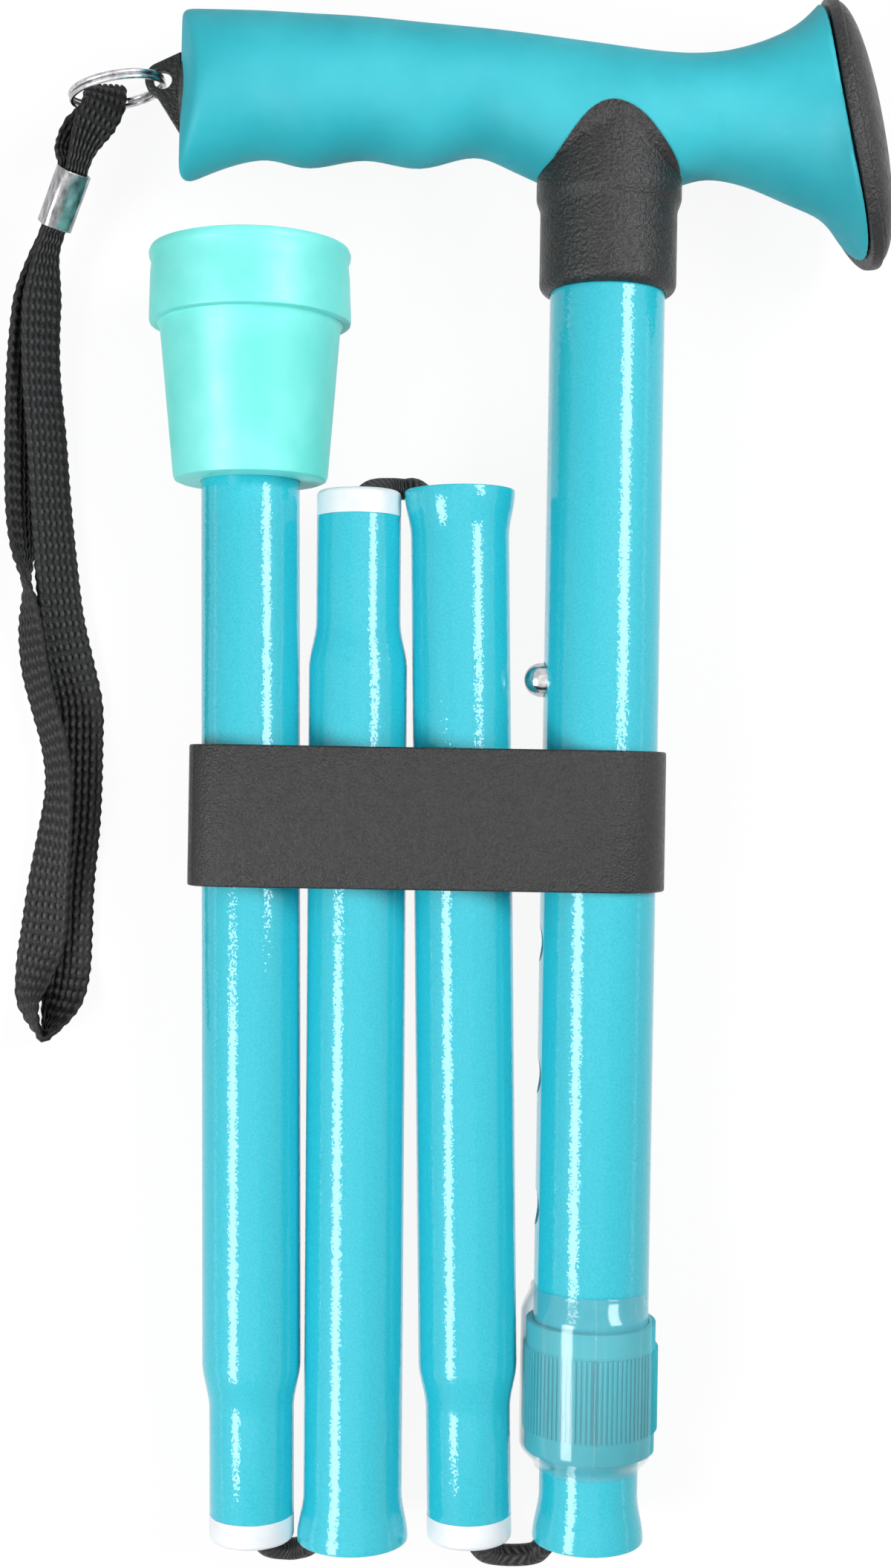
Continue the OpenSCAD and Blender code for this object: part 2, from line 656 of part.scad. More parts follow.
module inner_tube() color(turquoise) difference() {
    turned(concat(
        eased(rim_r, 0, shaft_r, flare_len), [[shaft_r, inner_len], [bore_r, inner_len]],
        eased(bore_r, flare_len, rim_bore_r, 0)
    ));
    translate([0, top_hole_y, 0]) rotate([0, -90, 0])
        cylinder(h = shaft_r + 1, r = button_d / 2 + button_gap);
}

// Guide bush, part in the sliding tube and part on top of it
guide_in = plug_spigot - 2;
guide_out = plug_head;
guide_bore_r = bore_r - 1.5;

module guide_bush() color(white) turned([
    [guide_bore_r, inner_len - guide_in], [bore_r - spigot_gap, inner_len - guide_in],
    [bore_r - spigot_gap, inner_len], [outer_bore_r - 0.1, inner_len],
    [outer_bore_r - 0.1, inner_len + guide_out], [guide_bore_r, inner_len + guide_out]
]);

// Leaf behind the button, with its other leg along the far wall
leaf_x = -5.2;
leaf_far_x = sqrt(bore_r * bore_r - leaf_w * leaf_w / 4) - 0.2;

module snap_button() color(steel) translate([0, top_hole_y, 0]) rotate([0, -90, 0]) rotate_extrude() {
    r = button_d / 2;
    tip = outer_r + button_proud;
    polygon([
        [0, -leaf_x], [r + 0.8, -leaf_x], [r + 0.8, -leaf_x + 0.9], [r, -leaf_x + 0.9], [r, tip - r],
        for (a = [10 : 10 : 80]) [r * cos(a), tip - r + r * sin(a)],
        [0, tip]
    ]);
}

module button_spring() color(steel) translate([0, 0, -leaf_w / 2]) linear_extrude(leaf_w) {
    low = top_hole_y - leaf_len;
    polygon([
        [leaf_x, top_hole_y + 5], [leaf_x + leaf_t, top_hole_y + 5], [leaf_x + leaf_t, low + 4],
        [leaf_x + 3 + leaf_t, low + leaf_t], [leaf_far_x - 3, low + leaf_t], [leaf_far_x - leaf_t, low + 4],
        [leaf_far_x - leaf_t, top_hole_y - 6], [leaf_far_x, top_hole_y - 6], [leaf_far_x, low + 3],
        [leaf_far_x - 2.4, low], [leaf_x + 2.6, low], [leaf_x, low + 3.4]
    ]);
}

module cord_anchor() color(white) translate([0, anchor_y, 0]) along_y()
    cylinder(h = anchor_len, r = bore_r - spigot_gap);

// Washer and knot at the head of the last tube
washer_t = 1.2;
washer_y = pivot_gap + last_len - 14;

module cord_washer() color(steel) turned([
    [cord_bore_r, washer_y], [bore_r - spigot_gap, washer_y],
    [bore_r - spigot_gap, washer_y + washer_t], [cord_bore_r, washer_y + washer_t]
]);

module cord_knot() color(black) translate([0, washer_y + washer_t, 0]) turned([
    [0, 0], [4.6, 0], [5.6, 2], [5.8, 4], [5, 6.4], [3, 7.8], [0, 8.2]
]);

module rubber_tip() {
    m = tip_mouth_y + pivot_gap;
    seat = pivot_gap + last_len + 0.2;
    top = m + body_h + foot_h;
    color(mint) turned([
        [shaft_r + tip_gap, m], [body_mouth_d / 2 - 0.6, m], [body_mouth_d / 2, m + 0.6],
        [body_foot_d / 2, m + body_h], [foot_d / 2 - 0.6, m + body_h], [foot_d / 2, m + body_h + 0.6],
        [foot_d / 2 - 0.5, top - 2.4], [foot_d / 2, top - 1.2], [foot_d / 2 - 0.3, top],
        [foot_d / 2 - 3, top], [foot_d / 2 - 4, top - foot_dish], [0, top - foot_dish],
        [0, seat + 1.6], [shaft_r + tip_gap, seat + 1.6]
    ]);
}

module tip_disc() color(steel) translate([0, pivot_gap + last_len + 0.2, 0]) along_y()
    cylinder(h = 1.5, r = shaft_r);

// Clip: closed front, round at the handle tube, square-cornered at the last section, open at the back
clip_top_y = clip_y + clip_h / 2;
last_x = pivot_3.x - half_cd * cos(lean_d) - (clip_top_y - pivot_3.y) * tan(lean_d);
clip_in_r = outer_r + clip_gap;
clip_left = last_x - shaft_r - clip_gap;

module clip_outline(g) {
    r = clip_in_r + g;
    c = clip_corner_r - 2 + g;
    left = clip_left - g;
    circle(r);
    translate([left + c, -r]) square([-left - c, 2 * r]);
    translate([left, -r + c]) square([c + eps, 2 * (r - c)]);
    for (s = [-1, 1]) translate([left + c, s * (r - c)]) circle(c);
}

module holding_clip() color(black) translate([0, clip_top_y, 0]) rotate([90, 0, 0])
    linear_extrude(clip_h) difference() {
        clip_outline(clip_wall);
        clip_outline(0);
        translate([clip_left + clip_hook, -2 * clip_in_r])
            square([clip_in_r - clip_left - 2 * clip_hook + 4, 2 * clip_in_r]);
    }

// Split ring through the tab's hole: one wire of nearly two turns, which steps across between its two ends
ring_ends = 35;
ring_step_at = 105;
turn_gap = 0.06;

module split_ring() color(steel) translate(ring_mid) rotate([90 - ring_tilt, 0, ring_yaw])
    rotate([0, 0, ring_step_at]) skin([
        for (a = [ring_ends : 10 : 720 - ring_ends])
        let (
            t = max(0, min(1, (a - 360 + ring_ends) / (2 * ring_ends))),
            beside = -cos(180 * t) * (wire_d + turn_gap) / 2,
            out = [cos(a), sin(a), 0],
            mid = ring_r * out + [0, 0, beside]
        )
        [for (b = [0 : 30 : 330]) mid + wire_d / 2 * (cos(b) * out - [0, 0, sin(b)])]
    ]);

module strap_head() {
    route = smooth(head_route, 3);
    color(black) webbing(
        [for (p = route) at_handle(p)], [for (p = route) p[3]],
        [for (p = route) min(head_w, webbing_w(p.y))], strap_t, head_side
    );
}

module strap() {
    route = smooth(strap_route, 2);
    color(black) webbing(
        [for (p = route) at_handle(p) + [0, 0, floor_rise(p.y + outer_top_y)]],
        [for (p = route) p[3]], [for (p = route) webbing_w(p.y)], strap_t
    );
}

module ferrule() {
    a = at_handle(ferrule_from);
    b = at_handle(ferrule_to);
    d = unit(b - a);
    w = crimp_w + 2 * crimp_gap;
    t = 2 * strap_t + 3 * crimp_gap;
    turns = [ferrule_turn, ferrule_turn];
    color(steel) difference() {
        webbing([a, a + d * ferrule_len], turns, [w, w] + 2 * ferrule_wall * [1, 1], t + 2 * ferrule_wall);
        webbing([a - d, a + d * (ferrule_len + 1)], turns, [w, w], t);
    }
}

place() {
    gel_grip();
    handle_core();
    neck_collar();
    end_cap();
    lanyard_tab();
    outer_tube();
    lock_collar();
    lock_bush();
    clear_sleeve();
    inner_tube();
    guide_bush();
    snap_button();
    button_spring();
    cord_anchor();
    in_b() color(turquoise) folding_tube(section_len, true);  // section_b
    in_c() color(turquoise) folding_tube(section_len, true);  // section_c
    in_d() color(turquoise) folding_tube(last_len, false);  // section_d
    in_b() end_plug();  // plug_b
    in_c() end_plug();  // plug_c
    in_d() end_plug();  // plug_d
    in_d() rubber_tip();
    in_d() tip_disc();
    in_d() cord_knot();
    in_d() cord_washer();
    cord_run(loop_in_female - pivot_gap, anchor_y);  // cord_run_a
    in_b() cord_run(loop_in_male, next_pivot_y - loop_in_female);  // cord_run_b
    in_c() cord_run(loop_in_male, next_pivot_y - loop_in_female);  // cord_run_c
    in_d() cord_run(loop_in_male, washer_y + washer_t);  // cord_run_d
    translate([-half_ab, -pivot_gap, 0])  // cord_loop_ab
        cord_loop(half_ab, splay_ab);
    in_b() translate([-half_bc, next_pivot_y, 0])  // cord_loop_bc
        rotate([180, 0, 0]) cord_loop(half_bc, splay_bc);
    in_c() translate([-half_cd, next_pivot_y, 0])  // cord_loop_cd
        rotate([180, 0, 0]) cord_loop(half_cd, splay_cd);
    holding_clip();
    split_ring();
    strap_head();
    ferrule();
    strap();
}

// Joint frames in the part's own axes, for the record
shift = [origin_at.x, origin_at.y];
echo(origin_at = origin_at, engagement = engagement, plug_travel = plug_travel);
echo(pivot_1 = pivot_1 - shift, pivot_2 = pivot_2 - shift, pivot_3 = pivot_3 - shift);
echo(down_b = turn([0, -1], splay_ab), up_c = turn([0, 1], lean_c), lean_d = lean_d);
tip_top = pivot_3 + turn([-half_cd, tip_mouth_y + pivot_gap + body_h + foot_h], lean_d) - shift;
echo(tip_top = tip_top, tip_axis = turn([0, 1], lean_d));
echo(tab_hole = tab_hole - shift, clip_left = clip_left - shift.x, axis_a = -shift.x);
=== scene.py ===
import json
import math
import bpy
import numpy as np
from mathutils import Matrix, Vector


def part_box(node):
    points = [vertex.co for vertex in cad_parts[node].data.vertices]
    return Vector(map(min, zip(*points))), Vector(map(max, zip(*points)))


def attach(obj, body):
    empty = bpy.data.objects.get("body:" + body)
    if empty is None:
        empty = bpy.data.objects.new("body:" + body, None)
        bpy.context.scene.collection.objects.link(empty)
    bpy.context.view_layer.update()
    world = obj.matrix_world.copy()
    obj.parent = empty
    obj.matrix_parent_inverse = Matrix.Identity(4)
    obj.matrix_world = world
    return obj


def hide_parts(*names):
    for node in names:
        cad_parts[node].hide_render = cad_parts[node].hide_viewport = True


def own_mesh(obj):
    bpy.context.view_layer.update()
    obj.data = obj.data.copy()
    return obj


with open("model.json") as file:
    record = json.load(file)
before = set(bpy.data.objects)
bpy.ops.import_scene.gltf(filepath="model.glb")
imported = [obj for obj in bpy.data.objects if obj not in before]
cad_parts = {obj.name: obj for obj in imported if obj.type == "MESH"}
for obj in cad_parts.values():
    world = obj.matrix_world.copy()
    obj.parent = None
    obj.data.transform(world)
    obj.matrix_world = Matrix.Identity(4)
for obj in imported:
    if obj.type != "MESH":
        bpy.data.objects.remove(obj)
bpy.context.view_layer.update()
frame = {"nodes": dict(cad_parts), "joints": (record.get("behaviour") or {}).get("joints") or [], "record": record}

mm = 0.001
joints = {j["name"]: j for j in frame["joints"]}
mounts = {m["name"]: m for m in frame["record"]["mounts"]}

# places of the frame that the pieces are built from
axisX, axisZ = joints["lock_turn"]["pos_m"][0], joints["lock_turn"]["pos_m"][2]
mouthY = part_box("inner_tube")[0].y  # mouth of the sliding tube
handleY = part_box("outer_tube")[1].y  # upper end of the handle tube


def fromMouth(x, y, z=0):
    return Vector((axisX + x * mm, mouthY + y * mm, axisZ + z * mm))


def fromHandle(x, y, z=0):
    return Vector((axisX + x * mm, handleY + y * mm, axisZ + z * mm))


def side(up):
    return Vector((-up.y, up.x, 0))


def stand(origin, up):
    # frame whose Y runs along up
    across = Vector((up.y, -up.x, 0))
    turn = Matrix((across, up, (0, 0, 1))).transposed().to_4x4()
    return Matrix.Translation(origin) @ turn


def pointAt(name):
    return Vector(joints[name]["pos_m"])


upB = -Vector(joints["plug_1"]["axis"]).normalized()
upC = Vector(joints["plug_3"]["axis"]).normalized()
upD = Vector(mounts["ground_face"]["axis"]).normalized()
shaft = {"halfAb": 11.4, "halfBc": 9.7, "halfCd": 9.7, "gap": 0.5, "r": 9.5, "bore": 8.4, "neck": 8.15,
         "neckBore": 7.05, "rim": 10.7, "rimBore": 9.6, "len": 202, "lastLen": 234, "flare": 9,
         "neckLen": 20, "taper": 9.5, "plug": 4.9}
placeA = stand(fromMouth(0, 0), Vector((0, 1, 0)))
placeB = stand(pointAt("unfold_1") + side(upB) * shaft["halfAb"] * mm, upB)
placeC = stand(pointAt("unfold_2") + side(upC) * shaft["halfBc"] * mm, -upC)
placeD = stand(pointAt("unfold_3") + side(upD) * shaft["halfCd"] * mm, upD)


# helpers for modelling
def clearPick():
    if bpy.context.object and bpy.context.object.mode != "OBJECT":
        bpy.ops.object.mode_set(mode="OBJECT")
    bpy.ops.object.select_all(action="DESELECT")


def pick(obj):
    clearPick()
    obj.select_set(True)
    bpy.context.view_layer.objects.active = obj


def startChain(name, points):
    # chain of edges drawn point by point, in metres
    clearPick()
    bpy.ops.mesh.primitive_plane_add(size=0.001, location=(0, 0, 0))
    obj = bpy.context.object
    obj.name = name
    bpy.ops.object.mode_set(mode="EDIT")
    bpy.ops.mesh.select_all(action="SELECT")
    bpy.ops.mesh.merge(type="CENTER")
    last = Vector(points[0])
    bpy.ops.transform.translate(value=last)
    for p in points[1:]:
        bpy.ops.mesh.extrude_region_move(TRANSFORM_OT_translate={"value": Vector(p) - last})
        last = Vector(p)
    bpy.ops.mesh.select_all(action="SELECT")
    return obj


def mendNormals():
    bpy.ops.mesh.select_all(action="SELECT")
    bpy.ops.mesh.remove_doubles(threshold=1e-6)
    bpy.ops.mesh.normals_make_consistent(inside=False)


def settle(obj, place=None, smooth=40):
    pick(obj)
    if place is not None:
        obj.matrix_world = place @ obj.matrix_world
        bpy.ops.object.transform_apply(location=True, rotation=True, scale=True)
    bpy.ops.object.shade_smooth_by_angle(angle=math.radians(smooth))
    return obj


def modify(obj, kind, **settings):
    pick(obj)
    m = obj.modifiers.new(kind.lower(), kind)
    for key, value in settings.items():
        setattr(m, key, value)
    bpy.ops.object.modifier_apply(modifier=m.name)


def bevelEdges(obj, width, segments=3, angle=35):
    modify(obj, "BEVEL", width=width * mm, segments=segments, limit_method="ANGLE",
           angle_limit=math.radians(angle), use_clamp_overlap=True)


def cutAway(obj, cutter, operation="DIFFERENCE"):
    modify(obj, "BOOLEAN", object=cutter, operation=operation, solver="EXACT")
    bpy.data.objects.remove(cutter)


def joinTo(obj, extra):
    pick(obj)
    extra.select_set(True)
    bpy.ops.object.join()


def lathe(name, outline, place, steps=96, bevel=0.0, angle=40):
    # closed outline of (radius, height) in mm, spun round Y
    obj = startChain(name, [(r * mm, y * mm, 0) for r, y in outline + outline[:1]])
    bpy.ops.mesh.remove_doubles(threshold=1e-7)
    bpy.ops.mesh.select_all(action="SELECT")
    bpy.ops.mesh.spin(steps=steps, angle=2 * math.pi, center=(0, 0, 0), axis=(0, 1, 0))
    mendNormals()
    bpy.ops.object.mode_set(mode="OBJECT")
    if bevel:
        bevelEdges(obj, bevel, angle=angle)
    return settle(obj, place, angle)


def eased(r1, y1, r2, y2, steps=14):
    # soft S from one radius and height to another
    return [(r1 + (r2 - r1) * (1 - math.cos(math.pi * k / steps)) / 2, y1 + (y2 - y1) * k / steps)
            for k in range(steps + 1)]


def curveThrough(points, n):
    # smooth curve through a list of points, as arrays
    p = np.array(points, float)
    out = []
    for i in range(len(p) - 1):
        a, b, c, d = p[max(i - 1, 0)], p[i], p[i + 1], p[min(i + 2, len(p) - 1)]
        for k in range(n):
            t = k / n
            out.append(0.5 * (2 * b + (c - a) * t + (2 * a - 5 * b + 4 * c - d) * t * t
                              + (3 * b - a - 3 * c + d) * t ** 3))
    out.append(p[-1])
    return np.array(out)


def plate(name, border, thick):
    # flat piece from its border in mm, as thick to the front as to the back
    obj = startChain(name, [fromHandle(x, y, -thick / 2) for x, y in border + border[:1]])
    bpy.ops.mesh.remove_doubles(threshold=1e-7)
    bpy.ops.mesh.select_all(action="SELECT")
    bpy.ops.mesh.edge_face_add()
    bpy.ops.mesh.extrude_region_move(TRANSFORM_OT_translate={"value": (0, 0, thick * mm)})
    mendNormals()
    bpy.ops.object.mode_set(mode="OBJECT")
    return obj


def tubeAlong(name, points, radius, smooth=60):
    # round wire or cord along points in metres
    obj = startChain(name, [tuple(p) for p in points])
    bpy.ops.object.mode_set(mode="OBJECT")
    pick(obj)
    bpy.ops.object.convert(target="CURVE")
    obj = bpy.context.object
    obj.data.dimensions = "3D"
    obj.data.twist_mode = "MINIMUM"
    obj.data.bevel_depth = radius * mm
    obj.data.bevel_resolution = 6
    obj.data.use_fill_caps = True
    bpy.ops.object.convert(target="MESH")
    return settle(bpy.context.object, smooth=smooth)


def ringStack(name, rings, sides):
    # ellipses (middle, direction of the first half axis, its half, half thickness) in one mesh, which bridgeStack
    # bridges in turn
    clearPick()
    bpy.ops.mesh.primitive_circle_add(vertices=3, radius=0.001)
    obj = bpy.context.object
    obj.name = name
    bpy.ops.object.mode_set(mode="EDIT")
    bpy.ops.mesh.select_all(action="SELECT")
    bpy.ops.mesh.delete(type="VERT")
    for mid, along, half, thick in rings:
        turn = math.atan2(along[1], along[0])
        bpy.ops.mesh.primitive_circle_add(vertices=sides, radius=half, location=mid,
                                          rotation=(math.pi / 2, 0, turn))
        bpy.ops.transform.resize(value=(1, 1, thick / half), center_override=mid)
    bpy.ops.object.mode_set(mode="OBJECT")
    return obj


def bridgeStack(obj, count, sides):
    # joins ring i to ring i + 1 and closes both ends
    for i in range(count - 1):
        pick(obj)
        bpy.ops.object.mode_set(mode="EDIT")
        bpy.ops.mesh.select_all(action="DESELECT")
        bpy.ops.object.mode_set(mode="OBJECT")
        mesh = obj.data
        inPair = [i * sides <= k < (i + 2) * sides for k in range(len(mesh.vertices))]
        mesh.vertices.foreach_set("select", inPair)
        onRing = [e.vertices[0] // sides == e.vertices[1] // sides and e.vertices[0] // sides in (i, i + 1)
                  for e in mesh.edges]
        mesh.edges.foreach_set("select", onRing)
        bpy.ops.object.mode_set(mode="EDIT")
        bpy.ops.mesh.bridge_edge_loops()
    bpy.ops.mesh.select_all(action="SELECT")
    bpy.ops.mesh.fill_holes(sides=0)
    bpy.ops.mesh.normals_make_consistent(inside=False)
    bpy.ops.object.mode_set(mode="OBJECT")


# materials
def srgb(r, g, b):
    def lin(v):
        v /= 255
        return v / 12.92 if v <= 0.04045 else ((v + 0.055) / 1.055) ** 2.4
    return (lin(r), lin(g), lin(b), 1.0)


class Paint:
    # node tree with a Principled shader and short ways to add to it
    def __init__(self, name, **sockets):
        self.mat = bpy.data.materials.new(name)
        self.mat.use_nodes = True
        self.tree = self.mat.node_tree
        self.shader = self.tree.nodes["Principled BSDF"]
        self.coords = self.add("ShaderNodeTexCoord")
        for key, value in sockets.items():
            self.shader.inputs[key.replace("_", " ")].default_value = value

    def add(self, kind, **settings):
        node = self.tree.nodes.new(kind)
        for key, value in settings.items():
            if key in node.inputs:
                node.inputs[key].default_value = value
            else:
                setattr(node, key, value)
        return node

    def link(self, a, b):
        self.tree.links.new(a, b)

    def noise(self, scale, detail=3.0, rough=0.55, stretch=None):
        node = self.add("ShaderNodeTexNoise", Scale=scale, Detail=detail, Roughness=rough)
        source = self.coords.outputs["Object"]
        if stretch:
            mapping = self.add("ShaderNodeMapping")
            mapping.inputs["Scale"].default_value = stretch
            self.link(source, mapping.inputs["Vector"])
            source = mapping.outputs["Vector"]
        self.link(source, node.inputs["Vector"])
        return node.outputs["Fac"]

    def ramp(self, fac, stops):
        node = self.add("ShaderNodeValToRGB")
        ramp = node.color_ramp
        while len(ramp.elements) < len(stops):
            ramp.elements.new(0.5)
        for element, (at, color) in zip(ramp.elements, stops):
            element.position = at
            element.color = color
        self.link(fac, node.inputs["Fac"])
        return node.outputs["Color"]

    def level(self, fac, low, high, at=(0.3, 0.7)):
        node = self.add("ShaderNodeMapRange")
        for key, value in zip(("From Min", "From Max", "To Min", "To Max"), (*at, low, high)):
            node.inputs[key].default_value = value
        self.link(fac, node.inputs["Value"])
        return node.outputs["Result"]

    def bump(self, height, strength, distance, after=None):
        node = self.add("ShaderNodeBump", Strength=strength, Distance=distance)
        self.link(height, node.inputs["Height"])
        if after is not None:
            self.link(after, node.inputs["Normal"])
        return node.outputs["Normal"]

    def math(self, kind, a, b):
        node = self.add("ShaderNodeMath", operation=kind)
        for socket, value in zip(node.inputs, (a, b)):
            if isinstance(value, (int, float)):
                socket.default_value = value
            else:
                self.link(value, socket)
        return node.outputs[0]

    def out(self, **links):
        for key, value in links.items():
            self.link(value, self.shader.inputs[key.replace("_", " ")])
        return self.mat


def makeTubePaint():
    # flat turquoise under a clear coat, whose fine unevenness breaks up the edges of what it mirrors
    look = {"dark": srgb(30, 182, 202), "pale": srgb(46, 197, 215), "cells": 3200, "tilt": 0.09}
    p = Paint("tubePaint", Roughness=0.5, Specular_IOR_Level=0.1, Coat_Weight=0.9, Coat_Roughness=0.025,
              Coat_IOR=1.5)
    cells = p.add("ShaderNodeTexVoronoi", Scale=look["cells"])
    p.link(p.coords.outputs["Object"], cells.inputs["Vector"])
    centred = p.add("ShaderNodeVectorMath", operation="SUBTRACT")
    p.link(cells.outputs["Color"], centred.inputs[0])
    centred.inputs[1].default_value = (0.5, 0.5, 0.5)
    lean = p.add("ShaderNodeVectorMath", operation="SCALE")
    p.link(centred.outputs[0], lean.inputs[0])
    lean.inputs["Scale"].default_value = look["tilt"]
    normal = p.add("ShaderNodeVectorMath", operation="ADD")
    p.link(lean.outputs[0], normal.inputs[0])
    p.link(p.add("ShaderNodeNewGeometry").outputs["Normal"], normal.inputs[1])
    unit = p.add("ShaderNodeVectorMath", operation="NORMALIZE")
    p.link(normal.outputs[0], unit.inputs[0])
    color = p.ramp(p.noise(2400, 2), [(0.3, look["dark"]), (0.7, look["pale"])])
    return p.out(Base_Color=color, Coat_Normal=unit.outputs[0])


def makeGel(name):
    # soft-touch turquoise: cloudy colour, fine grain
    look = {"low": srgb(44, 178, 194), "high": srgb(60, 194, 209)}
    p = Paint(name, Roughness=0.6, Sheen_Weight=0.04, Sheen_Roughness=0.4, Specular_IOR_Level=0.25)
    color = p.ramp(p.noise(35, 4), [(0.35, look["low"]), (0.65, look["high"])])
    grain = p.bump(p.noise(3200, 3), 0.22, 0.0002)
    wave = p.bump(p.noise(160, 2), 0.06, 0.001, grain)
    return p.out(Base_Color=color, Normal=wave, Roughness=p.level(p.noise(300, 4), 0.52, 0.68))


def makeTipRubber():
    look = {"low": srgb(112, 232, 222), "high": srgb(134, 243, 236)}
    p = Paint("tipRubber", Roughness=0.42, Specular_IOR_Level=0.3)
    color = p.ramp(p.noise(60, 4), [(0.35, look["low"]), (0.65, look["high"])])
    scratch = p.bump(p.noise(260, 5, 0.6, (0.25, 3.0, 3.0)), 0.1, 0.0004)
    grain = p.bump(p.noise(2600, 2), 0.1, 0.0002, scratch)
    return p.out(Base_Color=color, Normal=grain, Roughness=p.level(p.noise(220, 4), 0.36, 0.5))


def makeBlackGrain(name, tone, grain, strength, rough):
    p = Paint(name, Roughness=rough, Specular_IOR_Level=0.3)
    speck = p.noise(grain, 2, 0.5)
    color = p.ramp(speck, [(0.3, (tone * 0.55,) * 3 + (1,)), (0.7, (tone * 1.5,) * 3 + (1,))])
    coarse = p.bump(speck, strength, 0.0004)
    fine = p.bump(p.noise(grain * 3, 2), strength * 0.5, 0.0002, coarse)
    patches = p.level(p.noise(grain * 0.3, 3), rough - 0.06, rough + 0.1)
    return p.out(Base_Color=color, Normal=fine, Roughness=patches)


def makeWhitePlastic():
    p = Paint("whitePlastic", Roughness=0.32)
    color = p.ramp(p.noise(120, 4), [(0.3, srgb(226, 231, 235)), (0.7, srgb(242, 245, 247))])
    return p.out(Base_Color=color, Normal=p.bump(p.noise(1500, 2), 0.06, 0.0002),
                 Roughness=p.level(p.noise(400, 3), 0.28, 0.4))


def makeMetal(name, low, high, rough, stretch):
    p = Paint(name, Metallic=1.0, Roughness=rough)
    line = p.noise(700, 5, 0.6, stretch)
    color = p.ramp(line, [(0.3, srgb(*low)), (0.7, srgb(*high))])
    return p.out(Base_Color=color, Normal=p.bump(line, 0.08, 0.0002),
                 Roughness=p.level(line, rough * 0.7, rough * 1.4))


def makeClear():
    # thin clear plastic: mostly see-through, a little haze, and the lamps' mirror strips
    p = Paint("clearPlastic", Alpha=0.2, Roughness=0.12, Specular_IOR_Level=0.6, Coat_Weight=1.0,
              Coat_Roughness=0.05, Coat_IOR=1.8)
    slant = p.add("ShaderNodeLayerWeight", Blend=0.3).outputs["Facing"]
    color = p.ramp(p.noise(90, 4), [(0.3, (0.2, 0.47, 0.52, 1)), (0.7, (0.28, 0.54, 0.58, 1))])
    return p.out(Base_Color=color, Alpha=p.level(slant, 0.13, 0.75, (0.35, 0.95)),
                 Normal=p.bump(p.noise(150, 3), 0.12, 0.0006), Roughness=p.level(p.noise(350, 4), 0.08, 0.2))


def makeBraid():
    # two sets of strands that cross in a fine chevron, on the cord's own map
    look = {"around": 6.0, "along": 44.0}
    p = Paint("braidedCord", Roughness=0.62, Sheen_Weight=0.05, Sheen_Roughness=0.4, Specular_IOR_Level=0.3)
    split = p.add("ShaderNodeSeparateXYZ")
    p.link(p.coords.outputs["UV"], split.inputs[0])
    u = p.math("MULTIPLY", split.outputs[0], look["along"])
    v = p.math("MULTIPLY", split.outputs[1], look["around"])
    fold = p.math("PINGPONG", v, 1.0)
    strand = p.math("SINE", p.math("MULTIPLY", p.math("ADD", u, fold), 2 * math.pi), 0.0)
    rib = p.math("SINE", p.math("MULTIPLY", v, 2 * math.pi), 0.0)
    height = p.math("ADD", strand, p.math("MULTIPLY", rib, 0.5))
    # painted light and shade: the colour follows the strands' height, so their crowns are painted lighter and the
    # grooves between them darker
    color = p.ramp(p.level(height, 0.0, 1.0, (-1.4, 1.4)), [(0.15, srgb(3, 3, 3)), (0.8, srgb(50, 50, 52))])
    thread = p.bump(p.noise(5200, 2), 0.25, 0.0002)
    return p.out(Base_Color=color, Normal=p.bump(height, 0.55, 0.0003, thread))


def makeWebbing():
    p = Paint("webbing", Roughness=0.45, Specular_IOR_Level=0.2)
    # painted light and shade: the stitch crowns and the middle of the webbing are painted lighter, the gaps
    # between stitches and the edges darker
    stitchLightShade = p.add("ShaderNodeAttribute", attribute_name="stitchLightShade")
    strand = p.noise(2600, 3, 0.6)
    mixed = p.math("ADD", p.math("MULTIPLY", stitchLightShade.outputs["Fac"], 0.75), p.math("MULTIPLY", strand, 0.35))
    color = p.ramp(mixed, [(0.25, srgb(2, 2, 2)), (0.65, srgb(14, 14, 15)), (1.0, srgb(74, 74, 76))])
    return p.out(Base_Color=color, Normal=p.bump(strand, 0.5, 0.0003), Roughness=p.level(strand, 0.4, 0.6))


paints = {
    "tube_paint": makeTubePaint(),
    "grip_gel": makeGel("gripGel"),
    "nut_plastic": makeGel("nutPlastic"),
    "tip_rubber": makeTipRubber(),
    "black_plastic": makeBlackGrain("blackPlastic", 0.013, 1500, 0.95, 0.34),
    "clip_plastic": makeBlackGrain("clipPlastic", 0.011, 2200, 0.8, 0.33),
    "core_plastic": makeBlackGrain("corePlastic", 0.04, 700, 0.2, 0.55),
    "white_plastic": makeWhitePlastic(),
    "clear_plastic": makeClear(),
    "steel": makeMetal("buttonSteel", (168, 168, 170), (214, 214, 216), 0.16, (1, 1, 1)),
    "ring_steel": makeMetal("ringSteel", (150, 150, 153), (216, 216, 218), 0.2, (1, 1, 1)),
    "ferrule_metal": makeMetal("ferruleMetal", (112, 113, 115), (190, 190, 192), 0.14, (1, 0.3, 1)),
    "elastic_cord": makeBraid(),
    "webbing": makeWebbing(),
}


def hand(obj, body, slotName, *nodes):
    # gives a finished piece its material, body and place in the record
    obj.data.materials.clear()
    obj.data.materials.append(paints[slotName])
    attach(obj, body)
    if nodes:
        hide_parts(*nodes)
    return obj


# tubes and plugs
def foldingTube(name, place, length, flared):
    s = shaft
    start = s["gap"] + s["plug"]
    neckEnd = start + s["neckLen"]
    body = neckEnd + s["taper"]
    top = s["gap"] + length
    outside = [(s["neck"], start)] + eased(s["neck"], neckEnd, s["r"], body)
    inside = eased(s["bore"], body, s["neckBore"], neckEnd) + [(s["neckBore"], start)]
    if flared:
        outside += eased(s["r"], top - s["flare"], s["rim"], top)
        inside = eased(s["rimBore"], top, s["bore"], top - s["flare"]) + inside
    else:
        outside += [(s["r"], top)]
        inside = [(s["bore"], top)] + inside
    return lathe(name, outside + inside, place, steps=112, bevel=0.18)


